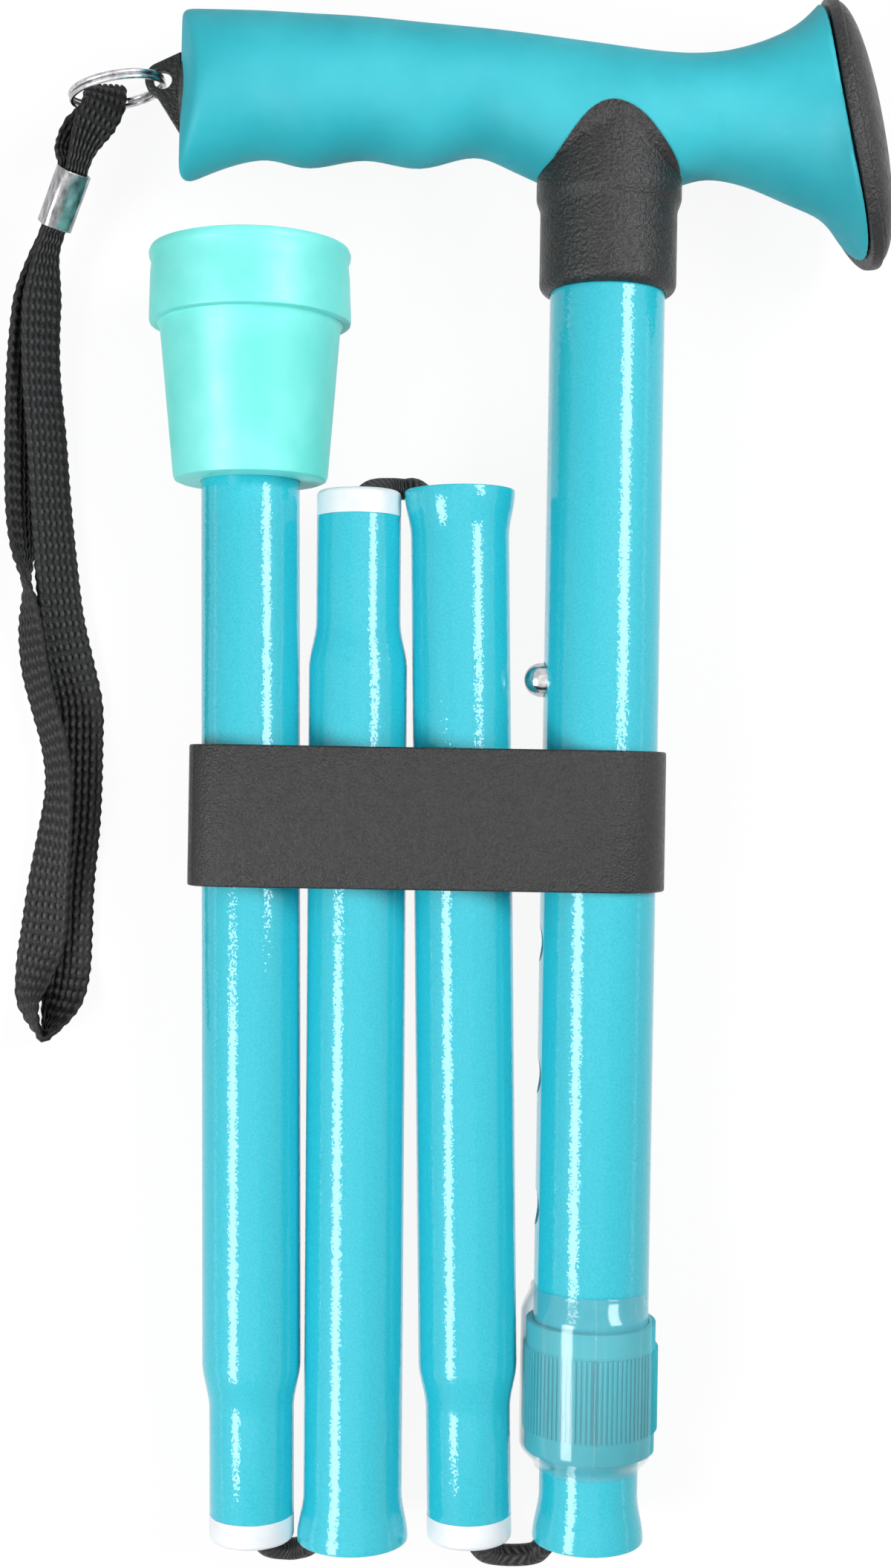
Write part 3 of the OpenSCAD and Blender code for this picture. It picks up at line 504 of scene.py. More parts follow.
for letter, place, length, flared, body in (("b", placeB, shaft["len"], True, "section_2"),
                                            ("c", placeC, shaft["len"], True, "section_3"),
                                            ("d", placeD, shaft["lastLen"], False, "section_4")):
    hand(foldingTube("tube" + letter.upper(), place, length, flared), body, "tube_paint", "section_" + letter)


def endPlug(name, place):
    s = {"head": 4.9, "round": 1.0, "spigot": 12, "cord": 2.4, "trumpet": 2.4, "trumpetLen": 3.2,
         "play": 0.05}
    r, low = shaft["neck"], shaft["gap"]
    high = low + s["head"]
    edge = [(r - s["round"] * (1 - math.sin(a)), low + s["round"] * (1 - math.cos(a)))
            for a in np.linspace(0, math.pi / 2, 7)]
    mouth = [(s["cord"] + s["trumpet"] * (1 - math.sin(a)), low + s["trumpetLen"] * (1 - math.cos(a)))
             for a in np.linspace(math.pi / 2, 0, 8)]
    spigotR, spigotTop = shaft["neckBore"] - s["play"], high + s["spigot"]
    outline = edge + [(r, high), (spigotR, high), (spigotR, spigotTop), (s["cord"], spigotTop)] + mouth
    return lathe(name, outline, place, steps=64, angle=35)


for letter, place, body in (("b", placeB, "section_2"),
                            ("c", placeC, "section_3"),
                            ("d", placeD, "section_4")):
    hand(endPlug("plug" + letter.upper(), place), body, "white_plastic", "plug_" + letter)

sliding = {"len": 190, "hole": 165.5, "holeR": 3.6, "cut": 14}
innerTube = lathe("slidingTube", eased(shaft["rim"], 0, shaft["r"], shaft["flare"])
                  + [(shaft["r"], sliding["len"]), (shaft["bore"], sliding["len"])]
                  + eased(shaft["bore"], shaft["flare"], shaft["rimBore"], 0),
                  placeA, steps=112, bevel=0.18)
outer = {"r": 11.1, "bore": 9.9, "foot": 31, "top": 258, "hole": 165.5, "pitch": 25.4, "count": 5,
         "holeR": 3.6, "cut": 16}
outerTube = lathe("handleTube", [(outer["r"], outer["foot"]), (outer["r"], outer["top"]),
                                 (outer["bore"], outer["top"]), (outer["bore"], outer["foot"])],
                  placeA, steps=128, bevel=0.15)


def holeCutter(y, depth, r):
    # round bar from the axis out through the left wall
    clearPick()
    bpy.ops.mesh.primitive_cylinder_add(vertices=48, radius=r * mm, depth=depth * mm,
                                        location=fromMouth(-depth / 2, y), rotation=(0, math.pi / 2, 0))
    return bpy.context.object


cutAway(innerTube, holeCutter(sliding["hole"], sliding["cut"], sliding["holeR"]))
for i in range(outer["count"]):
    cutAway(outerTube, holeCutter(outer["hole"] - i * outer["pitch"], outer["cut"], outer["holeR"]))
bevelEdges(outerTube, 0.2, segments=2, angle=50)
hand(settle(innerTube, smooth=35), "slider", "tube_paint", "inner_tube")
hand(settle(outerTube, smooth=35), "handle", "tube_paint", "outer_tube")

nearAxis = 0.02  # lathe outlines stop just short of the axis
button = {"r": 3.3, "tip": 14.9, "root": 5.2, "flange": 0.8, "flangeT": 0.9}
buttonPlace = Matrix.Translation(fromMouth(0, outer["hole"])) @ Matrix.Rotation(math.pi / 2, 4, "Z")
dome = [(button["r"] * math.cos(a), button["tip"] - button["r"] + button["r"] * math.sin(a))
        for a in np.linspace(0, math.pi / 2 - 0.02, 14)]
flangeR, flangeTop = button["r"] + button["flange"], button["root"] + button["flangeT"]
snapButton = lathe("snapButton", [(nearAxis, button["root"]), (flangeR, button["root"]), (flangeR, flangeTop),
                                  (button["r"], flangeTop)] + dome + [(nearAxis, button["tip"])],
                   buttonPlace, steps=48)
hand(snapButton, "button", "steel", "snap_button")
print("tubes done")

# lock nut with its ribbed band
nut = {"y": 17.6, "len": 24.7, "end": 12.5, "r": 13.05, "band": (0.16, 0.82), "bore": 11.25, "lip": 9.9,
       "lipLen": 4, "ribs": 84, "rib": 0.4, "ribWide": 0.54, "ribDeep": 0.7, "ribEnds": 0.6, "ribRound": 0.14}
nutLow, nutTop, lipTop = nut["y"], nut["y"] + nut["len"], nut["y"] + nut["lipLen"]
bandLow, bandTop = (nutLow + k * nut["len"] for k in nut["band"])
rootR = nut["r"] - nut["rib"]
nutOutline = [(nut["lip"], nutLow), (nut["end"], nutLow), (nut["end"], bandLow), (rootR, bandLow),
              (rootR, bandTop), (nut["end"], bandTop), (nut["end"], nutTop), (nut["bore"], nutTop),
              (nut["bore"], lipTop), (nut["lip"], lipTop)]
lockNut = lathe("lockNut", nutOutline, placeA, steps=120, bevel=0.25)
ribMid = fromMouth(0, (bandLow + bandTop) / 2, nut["r"] - nut["ribDeep"] / 2)
ribLen = bandTop - bandLow - nut["ribEnds"]
clearPick()
bpy.ops.mesh.primitive_cube_add(size=1, location=ribMid)
ribs = bpy.context.object
bpy.ops.object.mode_set(mode="EDIT")
bpy.ops.transform.resize(value=(nut["ribWide"] * mm, ribLen * mm, nut["ribDeep"] * mm))
bpy.ops.mesh.bevel(offset=nut["ribRound"] * mm, segments=2, affect="EDGES")
bpy.ops.object.mode_set(mode="OBJECT")
bpy.ops.object.transform_apply(location=True, rotation=True, scale=True)
bpy.ops.object.mode_set(mode="EDIT")
bpy.ops.mesh.select_all(action="SELECT")
bpy.ops.mesh.spin(steps=nut["ribs"], dupli=True, angle=2 * math.pi, center=fromMouth(0, 0), axis=(0, 1, 0))
bpy.ops.object.mode_set(mode="OBJECT")
joinTo(lockNut, ribs)
hand(settle(lockNut), "lock_nut", "nut_plastic", "lock_collar")

# clear sleeve, open on one side
sleeve = {"r": 13.35, "wall": 0.4, "y": 14.2, "len": 34.6, "lowR": 10.4, "topR": 11.6, "lowLen": 4.6,
          "topLen": 5.4, "open": 70, "seam": 0.14}
sleeveLow, sleeveTop = sleeve["y"], sleeve["y"] + sleeve["len"]
wall = eased(sleeve["lowR"], sleeveLow, sleeve["r"], sleeveLow + sleeve["lowLen"], 10)
wall += eased(sleeve["r"], sleeveTop - sleeve["topLen"], sleeve["topR"], sleeveTop, 10)
clearSleeve = startChain("clearSleeve", [(r * mm, y * mm, 0) for r, y in wall])
bpy.ops.mesh.spin(steps=96, angle=math.radians(360 - sleeve["open"]), center=(0, 0, 0), axis=(0, 1, 0))
mendNormals()
bpy.ops.object.mode_set(mode="OBJECT")
modify(clearSleeve, "SOLIDIFY", thickness=sleeve["wall"] * mm, offset=0)
bevelEdges(clearSleeve, 0.2, segments=2, angle=50)
# the opening is turned to the right
heart = sum((v.co for v in clearSleeve.data.vertices), Vector()) / len(clearSleeve.data.vertices)
facing = Matrix.Rotation(math.atan2(-heart.z, heart.x) + math.pi, 4, "Y")
settle(clearSleeve, placeA @ facing.inverted())
# the mould's parting line runs down the front
seamLine = [fromMouth(0, y, r + sleeve["wall"] / 2) for r, y in wall]
joinTo(clearSleeve, tubeAlong("sleeveSeam", seamLine, sleeve["seam"]))
hand(clearSleeve, "lock_nut", "clear_plastic", "clear_sleeve")
print("lock done")

# rubber tip
tip = {"mouthY": 204.3, "bodyH": 30.2, "footH": 14.5, "mouthR": 14.9, "bodyR": 17.85, "footR": 19.45,
       "bore": 9.6, "dish": 1.5, "seat": 236.3}
tipMouth, tipStep = tip["mouthY"], tip["mouthY"] + tip["bodyH"]
tipEnd = tipStep + tip["footH"]
mouthR, bodyR, footR, dish = tip["mouthR"], tip["bodyR"], tip["footR"], tipEnd - tip["dish"]
tipOutline = [(tip["bore"], tipMouth), (mouthR - 1.0, tipMouth), (mouthR - 0.3, tipMouth + 0.3),
              (mouthR, tipMouth + 1.0), (bodyR - 0.5, tipStep - 1.0), (bodyR, tipStep),
              (footR - 0.7, tipStep), (footR - 0.15, tipStep + 0.25), (footR, tipStep + 0.8),
              (footR - 0.25, tipEnd - 5), (footR - 0.5, tipEnd - 2.8), (footR - 0.1, tipEnd - 1.8),
              (footR, tipEnd - 1.0), (footR - 0.3, tipEnd - 0.2), (footR - 0.9, tipEnd), (footR - 3, tipEnd),
              (footR - 4, dish), (nearAxis, dish), (nearAxis, tip["seat"]), (tip["bore"], tip["seat"])]
rubberTip = lathe("rubberTip", tipOutline, placeD, steps=128, angle=30)
hand(rubberTip, "section_4", "tip_rubber", "rubber_tip")

# grip: sections as top point, bottom point and half thickness, from the handle tube's end
grip = {"sides": 56, "steps": 3, "endR": 23.2, "endReach": 15, "endMost": 6.0, "endRound": 1.2, "sections": [
    ((-81.6, 35.3), (-81.9, 3.0), 14.2), ((-73.8, 35.1), (-73.8, 6.3), 14.8),
    ((-66.6, 34.9), (-66.4, 7.8), 15), ((-58.5, 34.6), (-58.2, 6.1), 15),
    ((-47.8, 34.1), (-47.5, 8.1), 14.8), ((-37.0, 33.3), (-36.7, 6.3), 14.4),
    ((-26.4, 32.4), (-26.1, 9), 14), ((-18.5, 31.8), (-18.1, 6), 13.75), ((-9, 30.8), (-9, 2.2), 13.7),
    ((0, 29.7), (0, 1.4), 13.7), ((9, 28.6), (9, 2), 13.7), ((16.3, 28.2), (18, 5.2), 13.75),
    ((23.3, 29.1), (26.1, 4.3), 14.2), ((31, 31.7), (35.2, 0.7), 15.6),
    ((36.1, 34.8), (43.9, -3.3), 17.4), ((40.2, 39.1), (50.7, -12.1), 19)], "pull": 3.2, "pullRows": 8,
    "ends": [(0.25, 1.0), (0.6, 1.0), (0.86, 1.0), (0.94, 0.94), (0.975, 0.6)]}
flat = curveThrough([(*a, *c, z) for a, c, z in grip["sections"]], grip["steps"])


def gripRing(row, share=1.0, shift=(0, 0)):
    top, low = Vector(row[0:2]), Vector(row[2:4])
    mid, half = (top + low) / 2, (top - low) / 2
    return (fromHandle(mid.x + shift[0], mid.y + shift[1]), half.normalized(), half.length * share * mm,
            row[4] * share * mm)


rings = [gripRing(flat[0], k, (-grip["endRound"] * e, 0)) for k, e in grip["ends"]]
rings += [gripRing(row) for row in flat]
domeShares = [1.0] * len(grip["ends"]) + [max(0, 1 - i / grip["steps"]) for i in range(len(flat))]
gelGrip = ringStack("gelGrip", rings, grip["sides"])
# the thin end is rounded from front to back
domeGroup = gelGrip.vertex_groups.new(name="dome")
for v in gelGrip.data.vertices:
    z = (v.co.z - axisZ) / mm
    setBack = grip["endR"] - math.sqrt(grip["endR"] ** 2 - min(z * z, grip["endReach"] ** 2))
    domeGroup.add([v.index], domeShares[v.index // grip["sides"]] * setBack / grip["endMost"], "REPLACE")
modify(gelGrip, "DISPLACE", direction="X", strength=grip["endMost"] * mm, mid_level=0, vertex_group="dome")


def pullBack(obj, shares, sides):
    # the palm end's rim is drawn back at front and rear
    group = obj.vertex_groups.new(name="pull")
    for v in obj.data.vertices:
        z = (v.co.z - axisZ) / mm / grip["sections"][-1][2]
        group.add([v.index], min(1, shares[v.index // sides] * z * z), "REPLACE")
    modify(obj, "DISPLACE", direction="X", strength=-grip["pull"] * mm, mid_level=0, vertex_group="pull")


pullShares = [max(0, 1 - (len(rings) - 1 - i) / grip["pullRows"]) for i in range(len(rings))]
pullBack(gelGrip, pullShares, grip["sides"])
bridgeStack(gelGrip, len(rings), grip["sides"])
modify(gelGrip, "SUBSURF", levels=1, render_levels=1)
hand(settle(gelGrip, smooth=60), "handle", "grip_gel", "gel_grip")

# neck collar: barrel with a shoulder, and a flap that laps the grip up to a pointed arch
collar = {"r": 13.2, "shoulder": 14.0, "top": 15.2, "topR": 13.5, "low": -18, "bore": 11.2, "round": 2.0,
          "lap": 0.3, "shoulderY": (-2.6, 0.6, 2.2), "archFoot": -3, "archDeep": 60,
          "arch": [(-14.1, 2.6), (-10.05, 7.2), (-5.0, 13.3), (-0.5, 15.4), (4.55, 13.5), (9.3, 8.8),
                   (12.9, 4.6), (14.1, 2.0)]}
lowEdge = [(collar["r"] - collar["round"] * (1 - math.sin(a)),
            collar["low"] + collar["round"] * (1 - math.cos(a))) for a in np.linspace(0, math.pi / 2, 8)]
collarPlace = stand(fromHandle(0, 0), Vector((0, 1, 0)))
neckCollar = lathe("neckCollar", [(collar["bore"], collar["low"])] + lowEdge
                   + eased(collar["r"], collar["shoulderY"][0], collar["shoulder"], collar["shoulderY"][1], 8)
                   + eased(collar["shoulder"], collar["shoulderY"][2], collar["topR"], collar["top"], 8)
                   + [(collar["bore"], collar["top"])], collarPlace, steps=112, angle=35)
pick(gelGrip)
bpy.ops.object.duplicate()
flap = bpy.context.object
modify(flap, "DISPLACE", direction="NORMAL", strength=collar["lap"] * mm, mid_level=0)
arch = [tuple(p) for p in curveThrough(collar["arch"], 4)]
arch = [(arch[0][0], collar["archFoot"])] + arch + [(arch[-1][0], collar["archFoot"])]
archBlock = plate("archBlock", arch, collar["archDeep"])
cutAway(flap, archBlock, "INTERSECT")
cutAway(neckCollar, flap, "UNION")
hand(settle(neckCollar, smooth=35), "handle", "black_plastic", "neck_collar")

# end cap: flange, crease and dome
cap = {"sides": 64, "bulge": 6.7, "rings": [
    (-0.05, 0.96), (0.0, 0.992), (0.03, 1.0), (0.27, 1.004), (0.315, 0.998), (0.33, 0.975), (0.335, 0.966),
    (0.36, 0.968), (0.42, 0.957), (0.52, 0.925), (0.64, 0.86), (0.76, 0.755), (0.87, 0.59), (0.945, 0.4),
    (0.985, 0.21), (1.0, 0.05)]}
lastRow = flat[-1]
across = Vector(lastRow[2:4]) - Vector(lastRow[0:2])
outward = Vector((-across.y, across.x)).normalized()
capRings = [gripRing(lastRow, k, outward * (cap["bulge"] * e)) for e, k in cap["rings"]]
endCap = ringStack("endCap", capRings, cap["sides"])
pullBack(endCap, [1.0] * len(capRings), cap["sides"])
bridgeStack(endCap, len(capRings), cap["sides"])
modify(endCap, "SUBSURF", levels=1, render_levels=1)
hand(settle(endCap, smooth=60), "handle", "black_plastic", "end_cap")
print("handle done")

# lanyard tab
tab = {"holeX": -86.5, "holeY": 22, "nose": 3.4, "hole": 1.8, "base": 8, "baseX": -82.9, "midY": 19.5,
       "t": 2.4, "noseFrom": 112, "noseTo": 252}
nose = [(tab["holeX"] + tab["nose"] * math.cos(a), tab["holeY"] + tab["nose"] * math.sin(a))
        for a in np.linspace(math.radians(tab["noseFrom"]), math.radians(tab["noseTo"]), 16)]
border = [(tab["baseX"], tab["midY"] + tab["base"])] + nose + [(tab["baseX"], tab["midY"] - tab["base"])]
lanyardTab = plate("lanyardTab", border, tab["t"])
clearPick()
bpy.ops.mesh.primitive_cylinder_add(vertices=40, radius=tab["hole"] * mm, depth=0.01,
                                    location=fromHandle(tab["holeX"], tab["holeY"]))
cutAway(lanyardTab, bpy.context.object)
bevelEdges(lanyardTab, 0.35, angle=50)
hand(settle(lanyardTab, smooth=35), "handle", "black_plastic", "lanyard_tab")

# split ring: one wire of nearly two turns, which steps across between its ends
ring = {"r": 9, "wire": 0.95, "gap": 0.06, "tilt": -2.4, "yaw": 12, "ends": 25, "stepAt": 250}
ringPlace = (Matrix.Translation(fromHandle(tab["holeX"], tab["holeY"]))
             @ Matrix.Rotation(math.radians(ring["yaw"]), 4, "Z")
             @ Matrix.Translation((-ring["r"] * mm, 0, 0))
             @ Matrix.Rotation(math.radians(90 - ring["tilt"]), 4, "X")
             @ Matrix.Rotation(math.radians(ring["stepAt"]), 4, "Z"))
wire = []
for a in np.arange(ring["ends"], 720 - ring["ends"] + 0.1, 5):
    step = min(1, max(0, (a - 360 + ring["ends"]) / (2 * ring["ends"])))
    beside = -math.cos(math.pi * step) * (ring["wire"] + ring["gap"]) / 2
    c, n = math.cos(math.radians(a)), math.sin(math.radians(a))
    wire.append(ringPlace @ (Vector((ring["r"] * c, ring["r"] * n, beside)) * mm))
splitRing = tubeAlong("splitRing", wire, ring["wire"] / 2)
hand(splitRing, "lanyard", "ring_steel", "split_ring")

# wrist strap: routes from the handle tube's end, height over the surface and turn about itself
strap = {"w": 9.6, "crimpW": 4.7, "headW": 8.2, "gather": 14, "t": 1.5, "row": 2.25, "columns": 7,
         "swell": 0.26, "edgeThin": 0.25, "stagger": 0.1, "scallop": 0.03, "scallopFrom": 0.8, "steps": 8,
         "floor": 0.02503, "footY": -10.28,
         "head": [(-105.4, 0.5, 15.5, 3), (-103.4, 5, 17.3, 3), (-101.9, 9.5, 18, 0), (-100.3, 14, 16.9, 0),
                  (-98.5, 18.8, 15.2, 0), (-99, 22.9, 11.7, 0), (-101, 18.4, 8.8, 0), (-104.3, 14, 10.2, 0),
                  (-105.5, 9.8, 13.8, 0), (-104.9, 6.4, 16.1, -3), (-106.3, 1.5, 14.1, -3)],
         "headSide": (-1, -0.14, 0.5),
         "loop": [(-107, -3, 14.1, -42), (-108.5, -6.2, 12.9, -46), (-110.2, -10.8, 11.2, -48),
                  (-111.4, -20.6, 8.6, -50), (-111.6, -32, 6.6, -50), (-110.5, -45.1, 5.4, -46),
                  (-109.4, -58.5, 5, -44), (-108.2, -70.3, 4.6, -40), (-106.9, -81.4, 4, -34),
                  (-105.1, -90.9, 3, -20), (-103.6, -98.3, 2, -5), (-103.4, -105.8, 1.4, 0),
                  (-103.6, -120.7, 1.2, 0), (-104.6, -134.1, 1.2, 0), (-104.8, -144.5, 1.2, 0),
                  (-105, -151.6, 1.4, 4), (-105.8, -158.2, 3, 30), (-108.4, -164.3, 5.2, 90),
                  (-111.6, -158.4, 5, 122), (-110.9, -151.8, 3.9, 150), (-109.3, -144.4, 3.6, 172),
                  (-108.3, -134, 4.4, 158), (-106.7, -120.6, 6, 138), (-106.5, -113.3, 6.2, 130),
                  (-107.6, -105.9, 6, 130), (-109.8, -98.6, 5.6, 130), (-111.8, -91.2, 5.2, 132),
                  (-112.8, -83.8, 5.2, 128), (-113.3, -77.9, 5.4, 115), (-114.2, -72.3, 5.4, 92),
                  (-114.8, -66.8, 5.4, 74), (-115.4, -58.6, 5.2, 66), (-115.7, -45.2, 5, 64),
                  (-115.5, -31.8, 5.2, 62), (-114.1, -20.2, 6.8, 58), (-111.8, -11, 9.2, 50),
                  (-109.6, -6.2, 11.1, 42), (-107.9, -2, 12.7, 40)]}
ferrule = {"from": (-108.4, -4.6, 12.6), "to": (-103.8, 5.5, 16.6), "turn": 40, "len": 11.5, "w": 6.0,
           "t": 4.6, "wall": 0.5, "round": 1.5}


def unit(a):
    return a / np.linalg.norm(a, axis=-1, keepdims=True)


def strapFrames(route, given):
    # middle line, width direction and turn of the webbing, from a route
    p = curveThrough(route, strap["steps"])
    rise = np.maximum(0, (strap["footY"] - p[:, 1]) * strap["floor"]) if given is None else 0
    base = np.array(fromHandle(0, 0)) / mm
    at = np.column_stack((p[:, 0] + base[0], p[:, 1] + base[1], p[:, 2] + rise))
    d = unit(np.gradient(at, axis=0))
    if given is None:
        level = unit(np.cross((0, 0, 1), d))
    else:
        g = np.array(given, float)
        level = unit(g - (d @ g)[:, None] * d)
    up = np.cross(d, level)
    a = np.radians(p[:, 3])[:, None]
    k = np.clip((np.abs(p[:, 1]) - ferrule["len"] / 2) / strap["gather"], 0, 1)
    width = strap["crimpW"] + (strap["w"] - strap["crimpW"]) * k * k * (3 - 2 * k)
    if given is not None:
        width = np.minimum(width, strap["headW"])
    return at, np.cos(a) * level + np.sin(a) * up, width


headAt, headWide, headWidth = strapFrames(strap["head"], strap["headSide"])
loopAt, loopWide, loopWidth = strapFrames(strap["loop"], None)
# the loop is run backwards, so that it goes on where the head ends
loopAt, loopWide, loopWidth = loopAt[::-1], loopWide[::-1], loopWidth[::-1]
wides = np.concatenate((headWide, loopWide))
for i in range(1, len(wides)):
    if wides[i] @ wides[i - 1] < 0:
        wides[i:] = -wides[i:]
mids = np.concatenate((headAt, loopAt))
run = np.concatenate(([0], np.cumsum(np.linalg.norm(np.diff(mids, axis=0), axis=1))))
strapLength = run[-1]
rowsAlong = int(strapLength / strap["row"]) * 4
along = np.linspace(0, strapLength, rowsAlong + 1)
widths = np.interp(along, run, np.concatenate((headWidth, loopWidth)))
mids = np.column_stack([np.interp(along, run, mids[:, i]) for i in range(3)])
wides = unit(np.column_stack([np.interp(along, run, wides[:, i]) for i in range(3)]))
tangent = unit(np.gradient(mids, axis=0))
wides = unit(wides - np.sum(wides * tangent, axis=1)[:, None] * tangent)
thicks = np.cross(tangent, wides)
# across the webbing: flat faces with round edges, four points to a column
face = np.linspace(-1, 1, strap["columns"] * 4 + 1)
section = np.array([(x, 1.0) for x in face] + [(-x, -1.0) for x in face])
around = len(section)
clearPick()
bpy.ops.mesh.primitive_grid_add(x_subdivisions=rowsAlong, y_subdivisions=around, size=1)
webbing = bpy.context.object
webbing.name = "webbing"
# oval stitches in columns stand up from the webbing
x = section[:, 0]
column = (x + 1) / 2 * strap["columns"]
cell = np.floor(np.clip(column, 0, strap["columns"] - 0.001))
acrossCell = np.sqrt(np.abs(np.sin(np.pi * column)))
phase = along[:, None] / strap["row"] + strap["stagger"] * (cell % 2)[None, :]
phase = phase + 0.5 * (section[:, 1] < 0)[None, :]  # the back's stitches lie between the front's
oval = np.abs(np.sin(np.pi * phase)) ** 0.8 * acrossCell[None, :]
edge = np.sqrt(np.maximum(0, 1 - np.abs(x) ** 6))
flatHalf = (strap["t"] / 2 - strap["swell"]) * (strap["edgeThin"] + (1 - strap["edgeThin"]) * edge)
half = flatHalf[None, :] + strap["swell"] * 2 * oval * edge[None, :]
wavy = np.sin(2 * np.pi * along / strap["row"])
scallop = 1 + strap["scallop"] * wavy[:, None] * (np.abs(x) > strap["scallopFrom"])[None, :]
points = (mids[:, None, :] + wides[:, None, :] * (x[None, :] * scallop * widths[:, None] / 2)[:, :, None]
          + thicks[:, None, :] * (section[:, 1][None, :] * half)[:, :, None])
# the grid's points run along x first
gridPoints = np.zeros((around + 1, rowsAlong + 1, 3))
gridPoints[:around] = np.transpose(points, (1, 0, 2))
gridPoints[around] = points[:, 0]
webbing.data.vertices.foreach_set("co", (gridPoints * mm).astype(np.float32).ravel())
# painted light and shade for the webbing's colour: lighter on the stitch crowns and the middle, darker between
# stitches and at the edges
tone = np.zeros((around + 1, rowsAlong + 1))
tone[:around] = (oval * (0.5 + 0.5 * edge)[None, :]).T
tone[around] = tone[0]
stitchLightShade = webbing.data.attributes.new("stitchLightShade", "FLOAT", "POINT")
stitchLightShade.data.foreach_set("value", tone.astype(np.float32).ravel())
webbing.data.update()
pick(webbing)
bpy.ops.object.mode_set(mode="EDIT")
bpy.ops.mesh.select_all(action="SELECT")
bpy.ops.mesh.remove_doubles(threshold=1e-6)
bpy.ops.mesh.fill_holes(sides=0)
bpy.ops.mesh.select_all(action="SELECT")
bpy.ops.mesh.normals_make_consistent(inside=False)
bpy.ops.object.mode_set(mode="OBJECT")
settle(webbing, smooth=70)

# ferrule: flattened tube crimped round the two ends of the webbing
crimpFrom, crimpTo = (np.array(fromHandle(*ferrule[end][:2])) / mm for end in ("from", "to"))
crimpFrom[2], crimpTo[2] = ferrule["from"][2], ferrule["to"][2]
crimpAlong = unit(crimpTo - crimpFrom)
level = unit(np.cross((0, 0, 1), crimpAlong))
lift = np.cross(crimpAlong, level)
turn = math.radians(ferrule["turn"])
crimpWide = math.cos(turn) * level + math.sin(turn) * lift
crimpUp = math.cos(turn) * lift - math.sin(turn) * level
corner = []
for cx, cy, start in ((1, 1, 0), (-1, 1, 90), (-1, -1, 180), (1, -1, 270)):
    for a in np.radians(np.linspace(start, start + 90, 7)):
        corner.append((cx * (ferrule["w"] / 2 - ferrule["round"]) + ferrule["round"] * math.cos(a),
                       cy * (ferrule["t"] / 2 - ferrule["round"]) + ferrule["round"] * math.sin(a)))
crimp = startChain("ferrule", [Vector((crimpFrom + crimpWide * c[0] + crimpUp * c[1]) * mm)
                               for c in corner + corner[:1]])
bpy.ops.mesh.remove_doubles(threshold=1e-7)
bpy.ops.mesh.select_all(action="SELECT")
bpy.ops.mesh.extrude_region_move(TRANSFORM_OT_translate={"value": Vector(crimpAlong * ferrule["len"] * mm)})
mendNormals()
bpy.ops.mesh.subdivide(number_cuts=1)
bpy.ops.object.mode_set(mode="OBJECT")
modify(crimp, "SOLIDIFY", thickness=ferrule["wall"] * mm, offset=0)
bevelEdges(crimp, 0.2, angle=50)
hand(settle(crimp), "lanyard", "ferrule_metal", "ferrule")
hand(webbing, "lanyard", "webbing", "strap", "strap_head")
print("strap done", round(strapLength, 1), "mm")

# elastic cord: bends between the sections and runs inside them
cord = {"r": 2.1, "male": 9, "female": 36.4, "belly": 0.2, "back": -7,
        # each bend's splay in degrees and depth, and each run's ends
        "bendAb": (1.45, -5.5), "bendBc": (0.9, -1), "bendCd": (0.45, -4.2),
        "runA": (35.9, 96), "runBc": (9, 166.6), "runD": (9, 221.7)}


def loopRoute(half, splay, deep):
    # out of the plug, behind the rim of the next mouth and up into it
    c, n = math.cos(math.radians(splay)), math.sin(math.radians(splay))
    plugEnd = ((-half, cord["male"], 0), (-half, 6.5, 0), (-half, 4, 0.1), (-half + 0.5, 1.5, 0.3))
    first = [(c * x - n * y, n * x + c * y, z) for x, y, z in plugEnd]
    under = [(-half + 2.6, deep * 0.7, 0.7), (-half + 6, deep - cord["belly"], 1),
             (half - shaft["rim"], deep, 1), (half - shaft["rimBore"] + 1.4, deep * 0.6, 0.8),
             (half - 3.6, 4.2, 0.4), (half - 1, 10, 0.1), (half, 16, 0), (half, 22, 0), (half, 29, 0),
             (half, cord["female"], 0)]
    return curveThrough([(x, y, z * cord["back"]) for x, y, z in first + under], 6)


def cordLoop(name, node, place, half, bend, body):
    # half is half the distance between the two tubes, into the side of the one that the bend stays with
    back = 1 if (place.to_3x3() @ Vector((0, 0, 1))).z > 0 else -1
    points = [place @ (Vector((p[0], p[1], p[2] * back)) * mm) for p in loopRoute(half, *bend)]
    obj = hand(tubeAlong(name, points, cord["r"]), body, "elastic_cord", node)
    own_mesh(obj)


turnA = Matrix.Translation(pointAt("unfold_1"))
turnB = stand(pointAt("unfold_2"), upB) @ Matrix.Rotation(math.pi, 4, "X")  # upside down, at the top
turnC = stand(pointAt("unfold_3"), upC)
cordLoop("cordLoopAB", "cord_loop_ab", turnA, shaft["halfAb"], cord["bendAb"], "fold_link_1")
cordLoop("cordLoopBC", "cord_loop_bc", turnB, shaft["halfBc"], cord["bendBc"], "fold_link_2")
cordLoop("cordLoopCD", "cord_loop_cd", turnC, shaft["halfCd"], cord["bendCd"], "fold_link_3")
for name, node, place, ends, body in (("cordRunA", "cord_run_a", placeA, cord["runA"], "slider"),
                                      ("cordRunB", "cord_run_b", placeB, cord["runBc"], "section_2"),
                                      ("cordRunC", "cord_run_c", placeC, cord["runBc"], "section_3"),
                                      ("cordRunD", "cord_run_d", placeD, cord["runD"], "section_4")):
    points = [place @ Vector((0, y * mm, 0)) for y in np.linspace(*ends, 12)]
    hand(tubeAlong(name, points, cord["r"]), body, "elastic_cord", node)
print("cord done")

